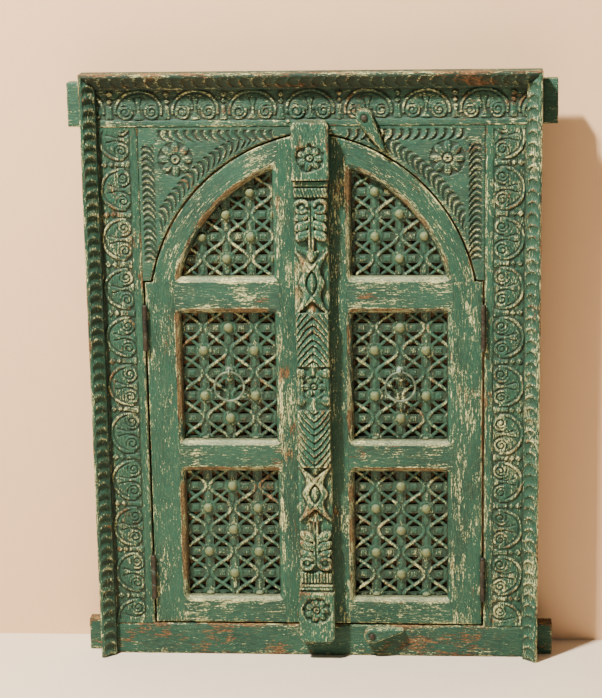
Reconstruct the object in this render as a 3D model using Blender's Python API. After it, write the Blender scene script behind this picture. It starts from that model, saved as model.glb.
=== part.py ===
# A carved jali window panel: a horned frame with an arch, and two leaves with pierced panels.
# Metres, +Z up. X runs along the wall and -Y faces the room. The wall plane is Y = 0.
# Heights are counted from the foot of the sill, and the whole panel hangs from an empty, so that
# the world's origin is on the back of the lintel.
import math

import bmesh
import bpy
from mathutils import Vector

# Frame
FRAME_WIDTH = 0.670
FRAME_HEIGHT = 0.900
FRAME_DEPTH = 0.036
LINTEL_HEIGHT = 0.065
SILL_HEIGHT = 0.050
JAMB_WIDTH = 0.0665
HORN_LENGTH = 0.024
HORN_DEPTH = 0.022
FIT = 0.0003  # between pieces that touch

# Planted moulding
MOULDING_WIDTH = 0.022
MOULDING_PROUD = 0.022
MOULDING_LAP = 0.015  # how far it stands outside the frame's edge
MOULDING_FLAT = 0.005
MOULDING_FOOT = 0.0075
SCALLOP_PITCH = 0.017
SCALLOP_DEPTH = 0.0030

# Arch, each side struck from a centre past the middle line
ARCH_CENTRE_PAST = 0.029
ARCH_SPRING_RISE = 0.052  # its spring lies this far above its centres
ARCH_SHOULDER = 0.0125  # between its spring and the jamb
ARCH_UNDER_LINTEL = 0.0066
ARCH_GAP = 0.003

# Leaves
LEAF_THICKNESS = 0.026
MEETING_GAP = 0.0052
HINGE_GAP = 0.0034
FOOT_GAP = 0.003
MEETING_STILE = 0.0474
HEAD_WIDTH = 0.031
UPPER_RAIL = 0.040
LOWER_RAIL = 0.034
BOTTOM_RAIL = 0.034
MIDDLE_OPENING = 0.212
LIP_WIDTH = 0.008
LIP_DROP = 0.009
LIP_EDGE = 0.003
CORNER_RADIUS = 0.012

# Pierced panels
PANEL_THICKNESS = 0.011
PANEL_SLACK = 0.0008
PANEL_RIM = 0.003  # left whole round the piercing
MESH_X = 0.0383
MESH_Z = 0.0351
MESH_LIFT = 0.0035  # the mesh lies this far above the middle of its opening
EYE_X = 0.0240
EYE_Z = 0.0215
STRAND = 0.0045
BOSS_RADIUS = 0.0063
BOSS_HEIGHT = 0.0050
TOP_MESH = 0.95  # the arched panels' mesh, as a share of the others'

# Astragal over the meeting line
ASTRAGAL_WIDTH = 0.054
ASTRAGAL_PROUD = 0.028
ASTRAGAL_OVER_LINTEL = 0.010
ASTRAGAL_OVER_SILL = 0.019
ASTRAGAL_SLIM = 0.93  # the carved length's width, as a share of the blocks'
ASTRAGAL_STEP = 0.0024  # between two runs of carving
CHEVRON_EDGE = 0.62  # the depth at the sides, as a share of the whole
FLOWER_DEPTH = 0.84
FLOWER_RADIUS = 0.0195
FLOWER_PROUD = 0.0032
FLOWER_BITE = 0.0040
# Kind of carving and where it ends, as a share of the height from the foot
ASTRAGAL_RUNS = (
    ("block", 0.101),
    ("fillet", 0.117),
    ("dentils", 0.139),
    ("palmette", 0.241),
    ("eye", 0.346),
    ("fish_down", 0.463),
    ("flower", 0.542),
    ("fish_up", 0.646),
    ("eye", 0.741),
    ("acanthus", 0.859),
    ("dentils", 0.880),
    ("fillet", 0.892),
    ("block", 1.000),
)
# Rows, how far their middles rise, and the depths of their crests and grooves
ASTRAGAL_ROWS = {
    "dentils": (2, 0, 0.90, 0.68),
    "palmette": (3, 0.020, 0.96, 0.70),
    "acanthus": (4, -0.018, 0.96, 0.70),
    "fish_down": (7, -0.012, 0.92, 0.72),
    "fish_up": (7, 0.012, 0.92, 0.72),
}

# Ironwork
HINGE_LENGTH = 0.070
HINGE_RADIUS = 0.0040
HINGE_PIN = 0.0018
HINGE_BORE = 0.0025
HINGE_PLATE = 0.0012
HINGE_PLATE_DEPTH = 0.022
UPPER_HINGE_DOWN = 0.069  # its middle, below the leaf's spring
LOWER_HINGE_UP = 0.074  # its middle, above the leaf's foot
RING_RADIUS = 0.0223
RING_WIRE = 0.0019
RING_STANDOFF = 0.0088
STAPLE_RADIUS = 0.0045
STAPLE_WIRE = 0.0013
STAPLE_DOME = 0.0068
STAPLE_LIFT = 0.0040  # above the middle of its cell

# Turn-buttons, at rest swung clear of the leaf
LATCH_HEAD = 0.0125
LATCH_TIP = 0.0035
LATCH_THICKNESS = 0.0140
LATCH_BORE = 0.0028
SCREW_SHANK = 0.0020
SCREW_HEAD = 0.0045
SCREW_BITE = 0.012
TOP_LATCH_X = 0.079
TOP_LATCH_UP = 0.014  # above the lintel's lower edge
TOP_LATCH_LENGTH = 0.056
TOP_LATCH_ASIDE = 30
BOTTOM_LATCH_X = 0.0836
BOTTOM_LATCH_DOWN = 0.012  # below the sill's upper edge
BOTTOM_LATCH_LENGTH = 0.049
BOTTOM_LATCH_ASIDE = 81

# Carving
RELIEF = 0.0024
SCROLL_BAND = 0.044
SCROLL_MARGIN = 0.008
LINTEL_SCROLLS = 7
JAMB_SCROLLS = 10
ROSETTE_RADIUS = 0.026
ROSETTE_FROM_JAMB = 0.0545
ROSETTE_FROM_LINTEL = 0.047
FEATHER = 0.014
FEATHER_PITCH = 0.022
FEATHER_EDGE = 0.002  # between the feathers and the spandrel's straight edges
FEATHER_OFF_ARCH = 0.006

# What follows from the sizes above
HALF = FRAME_WIDTH / 2
CORE = HALF - MOULDING_LAP
JAMB_INSIDE = CORE - JAMB_WIDTH
LINTEL_TOP = FRAME_HEIGHT - MOULDING_LAP
LINTEL_FOOT = LINTEL_TOP - LINTEL_HEIGHT
MOUNT_Z = LINTEL_TOP - LINTEL_HEIGHT / 2
FACE = -FRAME_DEPTH
LEAF_BACK = FACE + LEAF_THICKNESS
LIP_FRONT = FACE + LIP_DROP
LIP_BACK = LIP_FRONT + LIP_EDGE
PANEL_FRONT = LIP_BACK + FIT
LEAF_EDGE = JAMB_INSIDE - HINGE_GAP
LEAF_FOOT = SILL_HEIGHT + FOOT_GAP
ARCH_RADIUS = math.hypot(JAMB_INSIDE - ARCH_SHOULDER + ARCH_CENTRE_PAST, ARCH_SPRING_RISE)
ARCH_HEIGHT = math.sqrt(ARCH_RADIUS**2 - ARCH_CENTRE_PAST**2)
ARCH_CENTRE_Z = LINTEL_FOOT - ARCH_UNDER_LINTEL - ARCH_HEIGHT
SPRING_Z = ARCH_CENTRE_Z + ARCH_SPRING_RISE
LEAF_RADIUS = ARCH_RADIUS - ARCH_GAP
HEAD_RADIUS = LEAF_RADIUS - HEAD_WIDTH
LEAF_SPRING = SPRING_Z - ARCH_GAP
MEETING_EDGE = MEETING_GAP / 2
STILE_FACE = MEETING_EDGE + MEETING_STILE
HINGE_AXIS = (JAMB_INSIDE - HINGE_GAP / 2, FACE - HINGE_RADIUS - FIT)
OPENINGS = (
    (LEAF_FOOT + BOTTOM_RAIL, LEAF_SPRING - UPPER_RAIL - MIDDLE_OPENING - LOWER_RAIL),
    (LEAF_SPRING - UPPER_RAIL - MIDDLE_OPENING, LEAF_SPRING - UPPER_RAIL),
)
ASTRAGAL_TOP = LINTEL_FOOT + ASTRAGAL_OVER_LINTEL
ASTRAGAL_FOOT = SILL_HEIGHT - ASTRAGAL_OVER_SILL
UPPER_HINGE_Z = LEAF_SPRING - UPPER_HINGE_DOWN
LOWER_HINGE_Z = LEAF_FOOT + LOWER_HINGE_UP
ROSETTE_X = JAMB_INSIDE - ROSETTE_FROM_JAMB
ROSETTE_Z = LINTEL_FOOT - ROSETTE_FROM_LINTEL
TOP_LATCH_Z = LINTEL_FOOT + TOP_LATCH_UP
BOTTOM_LATCH_Z = SILL_HEIGHT - BOTTOM_LATCH_DOWN
LATCH_BACK = FACE - RELIEF - 2 * FIT

GREEN = (0.075, 0.225, 0.150)
IRON = (0.060, 0.058, 0.052)


def arch_x(z, radius):
    return math.sqrt(radius**2 - (z - ARCH_CENTRE_Z) ** 2) - ARCH_CENTRE_PAST


def arch_z(x, radius):
    return ARCH_CENTRE_Z + math.sqrt(radius**2 - (x + ARCH_CENTRE_PAST) ** 2)


def arch_point(angle, radius):
    return (radius * math.cos(angle) - ARCH_CENTRE_PAST, ARCH_CENTRE_Z + radius * math.sin(angle))


def arch_angle_at_x(x, radius):
    return math.acos((x + ARCH_CENTRE_PAST) / radius)


def arch_angle_at_z(z, radius):
    return math.asin((z - ARCH_CENTRE_Z) / radius)


def spread(first, last, count):
    return [first + (last - first) * i / count for i in range(count + 1)]


# Right-leaf width of the panels' openings, from the arch where it springs
HANG_FACE = arch_x(LEAF_SPRING, HEAD_RADIUS)


def clear_scene():
    for old in list(bpy.data.objects):
        bpy.data.objects.remove(old, do_unlink=True)


def finish_for(name, colour, roughness, metallic):
    material = bpy.data.materials.new(name)
    material.use_nodes = True
    shader = material.node_tree.nodes["Principled BSDF"]
    shader.inputs["Base Color"].default_value = (*colour, 1)
    shader.inputs["Roughness"].default_value = roughness
    shader.inputs["Metallic"].default_value = metallic
    material.diffuse_color = (*colour, 1)
    return material


def painted(name):
    return finish_for(name + "_paint", GREEN, 0.7, 0.0)


def iron(name):
    return finish_for(name + "_iron", IRON, 0.55, 0.8)


def empty(name, place, parent=None):
    holder = bpy.data.objects.new(name, None)
    bpy.context.scene.collection.objects.link(holder)
    holder.location = place
    if parent:
        holder.parent = parent
        holder.location = Vector(place) - Vector(parent["place"])
    holder["place"] = Vector(place)
    return holder


def finished(name, bm, holder, material, mirror=False, smooth=False):
    # Turns a mesh in panel coordinates into an object at its holder's place.
    place = Vector(holder["place"])
    if mirror:
        bmesh.ops.scale(bm, vec=(-1, 1, 1), verts=bm.verts)
    bmesh.ops.translate(bm, vec=-place, verts=bm.verts)
    bmesh.ops.remove_doubles(bm, verts=bm.verts, dist=1e-6)
    bmesh.ops.recalc_face_normals(bm, faces=bm.faces)
    mesh = bpy.data.meshes.new(name)
    bm.to_mesh(mesh)
    bm.free()
    if smooth:
        mesh.shade_smooth()
        mesh.set_sharp_from_angle(angle=math.radians(35))
    mesh.materials.append(material)
    made = bpy.data.objects.new(name, mesh)
    bpy.context.scene.collection.objects.link(made)
    made.parent = holder
    return made


def joined(body, extra):
    # The extra shape becomes part of the body.
    union = body.modifiers.new("union_" + extra.name, "BOOLEAN")
    union.operation = "UNION"
    union.object = extra
    extra.hide_render = True
    extra.display_type = "WIRE"


def loft(bm, rings, capped=True):
    rows = [[bm.verts.new(point) for point in ring] for ring in rings]
    count = len(rows[0])
    for low, high in zip(rows, rows[1:]):
        for i in range(count):
            j = (i + 1) % count
            bm.faces.new((low[i], low[j], high[j], high[i]))
    if capped:
        bm.faces.new(rows[0])
        bm.faces.new(rows[-1])
    return rows


def at_depth(points, y):
    return [(x, y, z) for x, z in points]


def area(points):
    pairs = zip(points, points[1:] + points[:1])
    return sum(a[0] * b[1] - b[0] * a[1] for a, b in pairs) / 2


def shrunk(points, inset):
    # The outline moved inwards by inset, square to each side.
    turn = 1 if area(points) > 0 else -1
    count = len(points)
    moved = []
    for i, point in enumerate(points):
        here = Vector(point)
        into = (here - Vector(points[i - 1])).normalized()
        out = (Vector(points[(i + 1) % count]) - here).normalized()
        first = Vector((-into.y, into.x)) * turn
        second = Vector((-out.y, out.x)) * turn
        bisector = (first + second).normalized()
        moved.append(tuple(here + bisector * inset / max(bisector.dot(first), 0.5)))
    return moved


# Carved shapes on a flat face. Each is (outline, height, inset of its top or None for a peak).
def ridge(points, height, inset):
    return (points, height, inset)


def peak(points, height):
    return (points, height, None)


def ring_of(x, z, radius, sides, turn=0.0):
    angles = [turn + math.tau * i / sides for i in range(sides)]
    return [(x + radius * math.cos(a), z + radius * math.sin(a)) for a in angles]


def face_with(bm, outline, y, loops):
    # A flat face at depth y, with every loop left open in it.
    rims = []
    edges = []
    for loop in [outline, *loops]:
        rim = [bm.verts.new((x, y, z)) for x, z in loop]
        edges += [bm.edges.new((a, b)) for a, b in zip(rim, rim[1:] + rim[:1])]
        rims.append(rim)
    bmesh.ops.triangle_fill(bm, use_beauty=True, use_dissolve=False, edges=edges)
    return rims


def walls(bm, near, far):
    for i in range(len(near)):
        j = (i + 1) % len(near)
        bm.faces.new((near[i], near[j], far[j], far[i]))


def raise_motif(bm, rim, motif, y):
    outline, height, inset = motif
    if inset is None:
        middle = sum((Vector(p) for p in outline), Vector((0, 0))) / len(outline)
        top = bm.verts.new((middle.x, y - height, middle.y))
        for a, b in zip(rim, rim[1:] + rim[:1]):
            bm.faces.new((a, b, top))
        return
    top = [bm.verts.new((x, y - height, z)) for x, z in shrunk(outline, inset)]
    walls(bm, rim, top)
    bm.faces.new(top)


def carved_slab(outline, back, front, holes=(), motifs=(), pocket=None, ease=0.0):
    # A slab with its carving on the front. A pocket is (loop, depth).
    bm = bmesh.new()
    top = shrunk(outline, ease) if ease else outline
    pockets = [pocket[0]] if pocket else []
    rims = face_with(bm, top, front, [*holes, *pockets, *(m[0] for m in motifs)])
    backs = face_with(bm, outline, back, list(holes))
    if ease:
        shoulder = [bm.verts.new((x, front + ease, z)) for x, z in outline]
        walls(bm, rims[0], shoulder)
        walls(bm, shoulder, backs[0])
    else:
        walls(bm, rims[0], backs[0])
    for i in range(len(holes)):
        walls(bm, rims[1 + i], backs[1 + i])
    first = 1 + len(holes)
    if pocket:
        floor = [bm.verts.new((x, front + pocket[1], z)) for x, z in pocket[0]]
        walls(bm, rims[first], floor)
        bm.faces.new(floor)
        first += 1
    for rim, motif in zip(rims[first:], motifs):
        raise_motif(bm, rim, motif, front)
    return bm


# Scroll carving: a unit runs along a band, with its stem bulging to the outer side.
def scroll_unit(length, band):
    half = length / 2
    stem = 0.13 * band
    foot = 0.26 * band
    rise = band - foot - 0.10 * band
    reach = 0.76 * half
    angles = spread(math.pi, 0, 4)
    outer = [(reach * math.cos(a), foot + rise * math.sin(a)) for a in angles]
    inner = [((reach - stem) * math.cos(a), foot + (rise - stem) * math.sin(a)) for a in angles]
    volute = 0.11 * band
    inside = reach - stem - 1.6 * volute
    return (
        ridge(outer + inner[::-1], RELIEF, 0.25 * stem),
        peak([(-0.15 * half, 0.10 * band), (0.15 * half, 0.10 * band), (0, 0.52 * band)], RELIEF),
        peak(ring_of(half, 0.76 * band, 0.12 * band, 4), RELIEF),
        peak(ring_of(inside, foot, volute, 4), RELIEF),
        peak(ring_of(-inside, foot, volute, 4), RELIEF),
    )


def scroll_band(count, first, last, place, band):
    # place turns (along, across) into (x, z).
    length = (last - first) / count
    motifs = []
    for i in range(count):
        middle = first + length * (i + 0.5)
        for outline, height, inset in scroll_unit(length, band):
            across = [place(middle + u, v) for u, v in outline]
            motifs.append((across, height, inset))
    return motifs


def clear_of(motifs, centre, distance):
    def far(motif):
        return all((Vector(p) - Vector(centre)).length > distance for p in motif[0])

    return [m for m in motifs if far(m)]


def crossbar(name, holder, low, high, carving, pocket):
    # A lintel or sill: full depth between the mouldings, with thinner horns past them.
    middle = [(-CORE, low), (CORE, low), (CORE, high), (-CORE, high)]
    bm = carved_slab(middle, 0, FACE, motifs=carving, pocket=pocket)
    bar = finished(name, bm, holder, painted(name))
    for side in (-1, 1):
        horn = bmesh.new()
        end = side * (HALF + HORN_LENGTH)
        root = side * (CORE - 0.02)
        outline = [(root, low), (end, low), (end, high), (root, high)]
        loft(horn, [at_depth(outline, 0), at_depth(outline, -HORN_DEPTH)])
        wood = painted(name + "_horn")
        joined(bar, finished(f"{name}_horn_{side}", horn, holder, wood))
    return bar


def make_lintel(holder):
    top = LINTEL_TOP - SCROLL_MARGIN
    reach = HALF - MOULDING_WIDTH - SCROLL_MARGIN
    low = top - SCROLL_BAND
    carving = scroll_band(LINTEL_SCROLLS, -reach, reach, lambda u, v: (u, low + v), SCROLL_BAND)
    centre = (TOP_LATCH_X, TOP_LATCH_Z)
    pocket = (ring_of(*centre, SCREW_SHANK + 2 * FIT, 6), SCREW_BITE + 0.002)
    carving = clear_of(carving, centre, 3 * SCREW_SHANK)
    crossbar("lintel", holder, LINTEL_FOOT, LINTEL_TOP, carving, pocket)


def make_sill(holder):
    centre = (BOTTOM_LATCH_X, BOTTOM_LATCH_Z)
    pocket = (ring_of(*centre, SCREW_SHANK + 2 * FIT, 6), SCREW_BITE + 0.002)
    crossbar("sill", holder, 0, SILL_HEIGHT, (), pocket)


def make_jamb(side, holder):
    low = SILL_HEIGHT + FIT
    high = LINTEL_FOOT - FIT
    name = "jamb_" + side
    start = HALF - MOULDING_WIDTH - SCROLL_MARGIN - SCROLL_BAND
    outline = [(JAMB_INSIDE, low), (CORE, low), (CORE, high), (JAMB_INSIDE, high)]
    ends = (low + SCROLL_MARGIN, high)
    carving = scroll_band(JAMB_SCROLLS, *ends, lambda u, v: (start + v, u), SCROLL_BAND)
    carving = [m for m in carving if max(z for _, z in m[0]) < high - FIT]
    bm = carved_slab(outline, 0, FACE, motifs=carving)
    finished(name, bm, holder, painted(name), mirror=side == "left")


def moulding_lines(length, start, end):
    # Lines of (along, in, depth) points round the section. start and end say how much each end
    # is cut back for each unit inwards: 1 is a mitre and 0 is square.
    front = FACE - MOULDING_PROUD
    heel = -HORN_DEPTH - FIT
    seat = FACE - FIT
    lap = MOULDING_LAP - FIT
    count = round(length / SCALLOP_PITCH)
    mid = (MOULDING_FLAT + MOULDING_WIDTH) / 2
    section = (
        (0, heel, 1),
        (0, front, 1),
        (MOULDING_FLAT, front, count),
        (mid, None, 2 * count),
        (MOULDING_WIDTH, seat - MOULDING_FOOT, count),
        (MOULDING_WIDTH, seat, 1),
        (lap, seat, 1),
        (lap, heel, 1),
    )
    slope = (front + seat - MOULDING_FOOT) / 2
    lines = []
    for inwards, depth, pieces in section:
        line = []
        for i, along in enumerate(spread(start * inwards, length - end * inwards, pieces)):
            crest = SCALLOP_DEPTH if i % 2 else -SCALLOP_DEPTH / 2
            line.append((along, inwards, slope - crest if depth is None else depth))
        lines.append(line)
    return lines


def bridge_lines(bm, near, far):
    # Joins two lines of points whose counts are in the ratio 1:1, 1:2 or 2:1, or 1:many.
    if len(near) == len(far):
        for i in range(len(near) - 1):
            bm.faces.new((near[i], near[i + 1], far[i + 1], far[i]))
    elif 2 in (len(near), len(far)):
        bm.faces.new([*near, *reversed(far)])
    else:
        few, many = (near, far) if len(near) < len(far) else (far, near)
        for i in range(len(few) - 1):
            bm.faces.new((few[i], many[2 * i + 1], many[2 * i]))
            bm.faces.new((few[i], few[i + 1], many[2 * i + 1]))
            bm.faces.new((few[i + 1], many[2 * i + 2], many[2 * i + 1]))


def make_moulding(name, holder, length, start, end, place):
    # place turns (along, in) into (x, z).
    bm = bmesh.new()
    lines = []
    for line in moulding_lines(length, start, end):
        spots = [(*place(along, inwards), depth) for along, inwards, depth in line]
        lines.append([bm.verts.new((x, depth, z)) for x, z, depth in spots])
    for near, far in zip(lines, lines[1:] + lines[:1]):
        bridge_lines(bm, near, far)
    bm.faces.new([line[0] for line in lines])
    bm.faces.new([line[-1] for line in lines])
    finished(name, bm, holder, painted(name))


def make_mouldings(holder):
    width = FRAME_WIDTH
    top = FRAME_HEIGHT
    shy = FIT  # opens the mitres a little
    make_moulding(
        "moulding_top", holder, width - 2 * shy, 1, 1, lambda t, u: (t + shy - HALF, top - u)
    )
    make_moulding("moulding_left", holder, top - shy, 0, 1, lambda t, u: (u - HALF, t))
    make_moulding("moulding_right", holder, top - shy, 0, 1, lambda t, u: (HALF - u, t))


def feather(x, z, angle, length, width):
    # One leaf of a feather band, pointing along angle.
    along = Vector((math.cos(angle), math.sin(angle))) * length / 2
    across = Vector((-along.y, along.x)).normalized() * width / 2
    middle = Vector((x, z))
    return peak([tuple(middle + d) for d in (-along, across, along, -across)], RELIEF)


def spandrel_carving(top, side):
    rosette = ring_of(ROSETTE_X, ROSETTE_Z, ROSETTE_RADIUS, 16)
    middle = Vector((ROSETTE_X, ROSETTE_Z))
    star = [tuple(middle + (Vector(p) - middle) * (1, 0.7)[i % 2]) for i, p in enumerate(rosette)]
    motifs = [ridge(star, 1.5 * RELIEF, 0.35 * ROSETTE_RADIUS)]
    inset = 0.5 * FEATHER + FEATHER_EDGE
    leaf = (FEATHER, 0.55 * FEATHER)
    column = side - inset
    low, high = SPRING_Z + 2 * FEATHER, top - 2 * FEATHER
    for z in spread(low, high, round((high - low) / FEATHER_PITCH)):
        motifs.append(feather(column, z, math.radians(60), *leaf))
    radius = ARCH_RADIUS + FEATHER_OFF_ARCH + 0.5 * FEATHER
    first = arch_angle_at_z(SPRING_Z + FEATHER, radius)
    last = arch_angle_at_z(top - 0.6 * FEATHER, radius)
    for angle in spread(first, last, round((last - first) * radius / FEATHER_PITCH)):
        x, z = arch_point(angle, radius)
        if column - x > FEATHER:
            motifs.append(feather(x, z, angle + math.radians(50), *leaf))
    outside = arch_x(top - 2.3 * FEATHER, radius)
    for x in spread(outside, column - FEATHER, round((column - outside) / FEATHER_PITCH)):
        motifs.append(feather(x, top - inset, math.radians(20), *leaf))
    return motifs


def make_spandrel(side, holder):
    name = "spandrel_" + side
    top = LINTEL_FOOT - FIT
    edge = JAMB_INSIDE - FIT
    first = arch_angle_at_z(SPRING_Z, ARCH_RADIUS)
    last = arch_angle_at_x(FIT / 2, ARCH_RADIUS)
    curve = [arch_point(a, ARCH_RADIUS) for a in spread(first, last, 18)]
    outline = [*curve, (FIT / 2, top), (edge, top), (edge, SPRING_Z)]
    bm = carved_slab(outline, -FIT, FACE, motifs=spandrel_carving(top, edge))
    finished(name, bm, holder, painted(name), mirror=side == "left")


# The inner edge of a leaf's opening is a lip that falls from the face. Each point of a member's
# outline is (at the face, at the lip, at the rebate behind the lip).
def plain(x, z):
    return ((x, z), (x, z), (x, z))


def corner(root, along, across):
    # The member's half of an opening's rounded corner: the mitre's root, the middle of the round
    # and its end. along and across are unit directions into the opening's two edges, and the
    # member's own edge runs along the first.
    along = Vector(along)
    across = Vector(across)
    half = along.angle(across) / 2
    bisector = (along + across).normalized()
    deep = Vector(root) + bisector * LIP_WIDTH / math.sin(half)
    points = [(tuple(root),) * 3]
    rebate = Vector(root) + along * 0.3 * CORNER_RADIUS
    for reach, turn in ((1 / math.sin(half) - 1, bisector), (1 / math.tan(half), along)):
        at_face = Vector(root) + turn * reach * CORNER_RADIUS
        at_lip = deep + turn * reach * CORNER_RADIUS / 2
        points.append([tuple(at_face), tuple(at_lip), tuple(rebate)])
        rebate = Vector(root) + along * reach * CORNER_RADIUS * 1.2
    points[2][2] = tuple(Vector(root) + along * CORNER_RADIUS / math.tan(half))
    return points


def member(name, points, holder, mirror):
    faces, lips, rebates = ([p[i] for p in points] for i in range(3))
    bm = bmesh.new()
    rings = (
        at_depth(rebates, LEAF_BACK),
        at_depth(rebates, LIP_BACK),
        at_depth(lips, LIP_BACK),
        at_depth(lips, LIP_FRONT),
        at_depth(faces, FACE),
    )
    loft(bm, rings)
    finished(name, bm, holder, painted(name), mirror=mirror)


RIGHT, LEFT, UP, DOWN = (1, 0), (-1, 0), (0, 1), (0, -1)


def stile_edge(x, towards, openings):
    # The points up a stile's edge, with a lip along each opening.
    points = []
    for low, high in openings:
        points += corner((x, low), UP, towards)
        points += reversed(corner((x, high), DOWN, towards))
    return points


def rail_points(low, high, lip_below=True, right_up=UP):
    left = STILE_FACE + FIT
    right = HANG_FACE - FIT
    above = corner((right, high), LEFT, right_up) + corner((left, high), RIGHT, UP)[::-1]
    if not lip_below:
        return [plain(left, low), plain(right, low), *above]
    return [*corner((left, low), RIGHT, DOWN), *corner((right, low), LEFT, DOWN)[::-1], *above]


def down_the_arch(angle):
    return (math.sin(angle), -math.cos(angle))


def up_the_arch(angle):
    return (-math.sin(angle), math.cos(angle))


def head_points():
    low = LEAF_SPRING + FIT
    left = STILE_FACE + FIT
    foot_angle = arch_angle_at_z(low, HEAD_RADIUS)
    crown_angle = arch_angle_at_x(left, HEAD_RADIUS)
    foot = corner(arch_point(foot_angle, HEAD_RADIUS), up_the_arch(foot_angle), LEFT)
    crown = corner(arch_point(crown_angle, HEAD_RADIUS), down_the_arch(crown_angle), DOWN)
    clear = 0.5 * CORNER_RADIUS / HEAD_RADIUS
    start = arch_angle_at_z(foot[-1][0][1], HEAD_RADIUS) + clear
    stop = arch_angle_at_x(crown[-1][0][0], HEAD_RADIUS) - clear
    lip = HEAD_RADIUS - LIP_WIDTH
    inner = [(arch_point(a, HEAD_RADIUS), arch_point(a, lip)) for a in spread(start, stop, 8)]
    outer_from = arch_angle_at_x(left, LEAF_RADIUS)
    outer_to = arch_angle_at_z(low, LEAF_RADIUS)
    outer = [plain(*arch_point(a, LEAF_RADIUS)) for a in spread(outer_from, outer_to, 11)]
    return [*foot, *((face, deep, face) for face, deep in inner), *crown[::-1], *outer]


def make_leaf_frame(side, holder):
    mirror = side == "left"
    crown_angle = arch_angle_at_x(STILE_FACE, HEAD_RADIUS)
    crown = corner(arch_point(crown_angle, HEAD_RADIUS), DOWN, down_the_arch(crown_angle))
    top_opening = [*corner((STILE_FACE, LEAF_SPRING), UP, RIGHT), *crown[::-1]]
    top = [
        plain(*arch_point(a, LEAF_RADIUS))
        for a in spread(
            arch_angle_at_x(STILE_FACE, LEAF_RADIUS),
            arch_angle_at_x(MEETING_EDGE, LEAF_RADIUS),
            3,
        )
    ]
    meeting = [
        plain(MEETING_EDGE, LEAF_FOOT),
        plain(STILE_FACE, LEAF_FOOT),
        *stile_edge(STILE_FACE, RIGHT, OPENINGS),
        *top_opening,
        *top,
    ]
    hanging = [
        plain(LEAF_EDGE, LEAF_SPRING),
        plain(LEAF_EDGE, LEAF_FOOT),
        plain(HANG_FACE, LEAF_FOOT),
        *stile_edge(HANG_FACE, LEFT, OPENINGS),
        plain(HANG_FACE, LEAF_SPRING),
    ]
    (low_foot, low_top), (mid_foot, mid_top) = OPENINGS
    member(f"{side}_meeting_stile", meeting, holder, mirror)
    member(f"{side}_hanging_stile", hanging, holder, mirror)
    member(f"{side}_bottom_rail", rail_points(LEAF_FOOT, low_foot, False), holder, mirror)
    member(f"{side}_lower_rail", rail_points(low_top, mid_foot), holder, mirror)
    foot_slope = up_the_arch(arch_angle_at_z(LEAF_SPRING, HEAD_RADIUS))
    upper = rail_points(mid_top, LEAF_SPRING, right_up=foot_slope)
    member(f"{side}_upper_rail", upper, holder, mirror)
    member(f"{side}_arched_head", head_points(), holder, mirror)


def clipped(points, inside, cross):
    # The part of a convex outline for which inside(point) is true.
    kept = []
    for a, b in zip(points, points[1:] + points[:1]):
        if inside(a):
            kept.append(a)
        if inside(a) != inside(b):
            kept.append(cross(a, b, inside))
    return kept


def crossing(a, b, inside):
    low, high = (a, b) if inside(a) else (b, a)
    for _ in range(30):
        middle = ((low[0] + high[0]) / 2, (low[1] + high[1]) / 2)
        low, high = (middle, high) if inside(middle) else (low, middle)
    return low


def node_holes(x, z, rising, scale):
    # The square eye at a crossing, split by the strand that runs over it.
    a, b = scale * EYE_X / 2, scale * EYE_Z / 2
    shy = STRAND / 2 * math.hypot(a, b)
    dx, dz = shy / b, shy / a
    if rising:
        return (
            [(x - a, z - b + dz), (x + a - dx, z + b), (x - a, z + b)],
            [(x + a, z + b - dz), (x - a + dx, z - b), (x + a, z - b)],
        )
    return (
        [(x - a + dx, z + b), (x + a, z - b + dz), (x + a, z + b)],
        [(x - a, z + b - dz), (x + a - dx, z - b), (x - a, z - b)],
    )


def pierced_panel(name, outline, rows, first_row, holder, mirror, bounds, scale=1, without=None):
    # bounds(point, margin) says whether a point lies that far inside the panel's edge.
    middle = (STILE_FACE + HANG_FACE) / 2
    holes, bosses = [], []
    mesh_x, mesh_z = scale * MESH_X, scale * MESH_Z
    count = round((HANG_FACE - STILE_FACE) / MESH_X)
    columns = [middle + (i - (count - 1) / 2) * mesh_x for i in range(count)]
    heights = [first_row + j * mesh_z for j in range(rows)]
    seen = LIP_WIDTH + 2 * FIT
    for j, z in enumerate(heights):
        for i, x in enumerate(columns):
            for hole in node_holes(x, z, (i + j) % 2 == 0, scale):
                hole = clipped(hole, lambda p: bounds(p, PANEL_RIM), crossing)
                if len(hole) > 2 and abs(area(hole)) > 1.5e-5:
                    holes.append(hole)
    for j, z in enumerate(heights[:-1]):
        for i, x in enumerate(columns[:-1]):
            spot = (x + mesh_x / 2, z + mesh_z / 2)
            away = without is None or math.dist(spot, without) > mesh_x / 2
            rim = ring_of(*spot, BOSS_RADIUS, 6)
            if (i + j) % 2 and away and all(bounds(p, seen) for p in rim):
                bosses.append(ridge(rim, BOSS_HEIGHT, 0.45 * BOSS_RADIUS))
    back = PANEL_FRONT + PANEL_THICKNESS
    bm = carved_slab(outline, back, PANEL_FRONT, holes=holes, motifs=bosses)
    finished(name, bm, holder, painted(name), mirror=mirror)


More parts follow.
